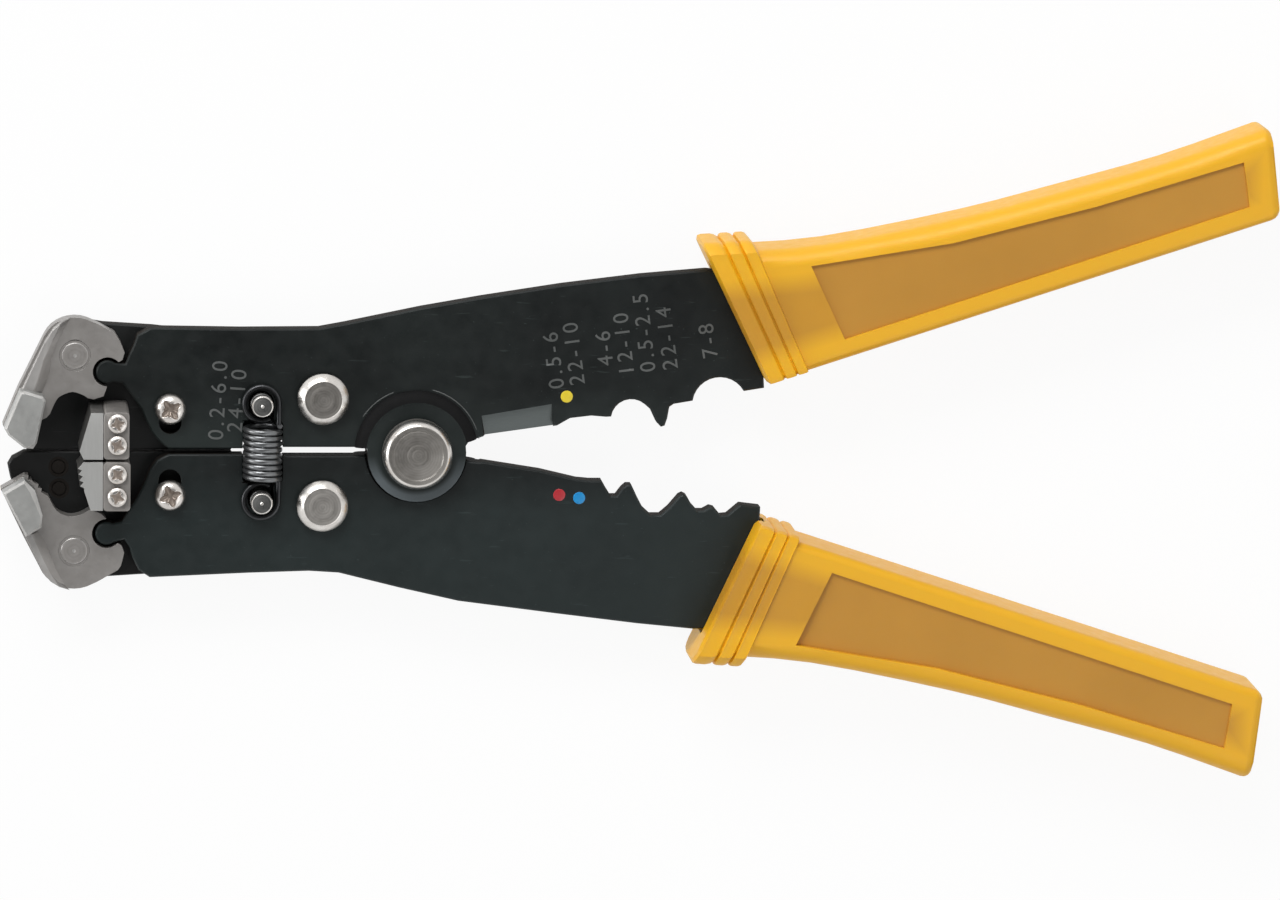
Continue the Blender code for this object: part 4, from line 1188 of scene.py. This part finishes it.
def add_plates():
    # both black arms get a painted sheen, paler towards -y; the upper one also gets the painted reflection
    # on its boss
    upper_black = black_steel("upper_black_finish", (0.003, 0.0045, 0.0045), (0.0165, 0.0225, 0.0215),
                              (10.0, 2.0), painted_ear_reflection=True)
    lower_black = black_steel("lower_black_finish", (0.004, 0.0055, 0.0055), (0.0145, 0.0215, 0.0215),
                              (-3.0, -10.0))
    carrier_black = black_steel("carrier_black_finish", (0.005, 0.005, 0.005), (0.011, 0.012, 0.012))
    ground = ground_steel("cutter_ground_finish", (0.085, 0.097, 0.096), (0.115, 0.13, 0.128),
                          (0.08, 1.0, 1.0))
    wall = black_wall("black_wall_finish", (0.009, 0.0075, 0.0065), (0.022, 0.019, 0.0165))
    boss = black_wall("boss_slope_finish", (0.0045, 0.0045, 0.0045), (0.0105, 0.0105, 0.011))
    softened("upper_arm", "upper_arm", 1.0, [upper_black, ground, wall, boss], segments=3,
             pick=on_upper_arm, weigh=ear_share, moved=shape_arm)
    softened("lower_arm", "lower_arm", 0.06, [lower_black, wall], pick=on_plate,
             moved=shape_arm, joined=False)
    for side_name, _ in SIDES:
        node = side_name + "_carrier"
        softened(node, node, 0.08, [carrier_black, wall], pick=on_plate,
                 moved=shape_carrier)
    for index in (1, 2):
        stop_rivet(index, wall)
    figure_and_highlight_black = black_steel("figure_and_highlight_finish", (0.075, 0.08, 0.078), (0.12, 0.126, 0.124))
    figures("size_figures", "upper_arm", UPPER_FIGURES, figure_and_highlight_black)
    # the lip round the boss takes the figures' paler colour as a painted highlight
    for start, end in EAR_LINE_SPANS:
        ear_line(start, end, figure_and_highlight_black)


def add_jaws():
    jaws = jaw_steel("jaw_steel_finish", (0.235, 0.222, 0.21), (0.30, 0.287, 0.275))
    tips = jaw_steel("jaw_tip_finish", (0.31, 0.312, 0.303), (0.38, 0.382, 0.37))
    holders = jaw_steel("holder_finish", (0.22, 0.207, 0.195), (0.28, 0.265, 0.25))
    blades = ground_steel("blade_finish", (0.33, 0.33, 0.32), (0.4, 0.4, 0.39), (1.0, 0.06, 1.0), 0.2)
    blade_wall_shade = jaw_steel("blade_wall_painted_shade", (0.07, 0.068, 0.065), (0.11, 0.108, 0.103))
    # painted highlight: a paler copy of the jaw steel for the tips' walls and chamfers and the higher level
    # faces
    edges = jaw_steel("jaw_edge_painted_highlight", (0.42, 0.415, 0.4), (0.52, 0.515, 0.5))
    ridges = jaw_steel("jaw_ridge_finish", (0.29, 0.28, 0.27), (0.38, 0.37, 0.36))
    for side_name, side in SIDES:
        node = side_name + "_jaw"
        softened(node, node, 0.05, [jaws, tips, edges], pick=on_jaw, moved=shape_jaw)
        jaw_ridge(side_name, side, [jaws, ridges])
        blade_holder(side_name, holders)
        blade(side_name, side, [blades, blade_wall_shade])


def add_fasteners():
    face = turned_steel("turned_face_finish", (0.17, 0.16, 0.145), (0.25, 0.238, 0.222), 0.42, 0.6, 0.34)
    rim = polished_steel("rim_finish", (0.56, 0.53, 0.5), (0.72, 0.7, 0.67))
    head = polished_steel("screw_head_finish", (0.5, 0.47, 0.44), (0.66, 0.63, 0.6))
    grey = turned_steel("pin_face_finish", (0.225, 0.212, 0.2), (0.28, 0.267, 0.255), 0.6, 0.4, 0.42)
    pale = turned_steel("pin_rim_finish", (0.34, 0.33, 0.32), (0.42, 0.41, 0.4), 0.6, 0.6, 0.3)
    post = turned_steel("post_face_finish", (0.08, 0.08, 0.078), (0.14, 0.14, 0.136), 0.5, 0.6, 0.3)
    recess_shade = recess_steel("recess_painted_shade")
    bright = turned_steel("lower_rivet_finish", (0.24, 0.228, 0.212), (0.34, 0.325, 0.305), 0.42, 0.5, 0.34)
    main_pivot([face, rim])
    for side_name, side in SIDES:
        carrier_rivet(side_name, side_name + "_arm", [face if side > 0 else bright, rim])
        jaw_pin(side_name, [grey, pale])
        spring_post(side_name, [post, rim])
    screw_finish = [face, head, recess_shade]
    for side_name, _ in SIDES:
        node = side_name + "_guide_screw"
        screw(node, GUIDE_SCREW, screw_finish, centre_of(node))
    for side_name, _ in SIDES:
        for index, y in enumerate(BLADE_SCREW_Y[side_name]):
            screw(f"{side_name}_blade_screw_{index + 1}", BLADE_SCREW, screw_finish, (BLADE_SCREW_X, y))


def add_grips():
    # the grips' body colour carries a painted highlight near their outer edges
    body = grip_plastic("grip_finish", (0.53, 0.252, 0.014), (0.59, 0.283, 0.018), edge=(0.80, 0.415, 0.009))
    panel = grip_plastic("grip_panel_finish", (0.47, 0.222, 0.022), (0.52, 0.248, 0.027), 0.5)
    for side_name, _ in SIDES:
        softened(side_name + "_grip", side_name + "_arm", 0.3, [body, panel], segments=3,
                 pick=on_grip, moved=shape_grip)


def add_dots():
    for colour, arm, at, dark, pale in DOTS:
        paint_dot(colour + "_dot", arm, at, enamel(colour + "_enamel", dark, pale))


add_camera()
add_world()
add_floor()
add_overhead_card()
for light in LIGHTS:
    add_area_light(*light)
bpy.context.scene.view_settings.view_transform = "Standard"
add_plates()
add_jaws()
add_fasteners()
add_spring()
add_grips()
add_dots()
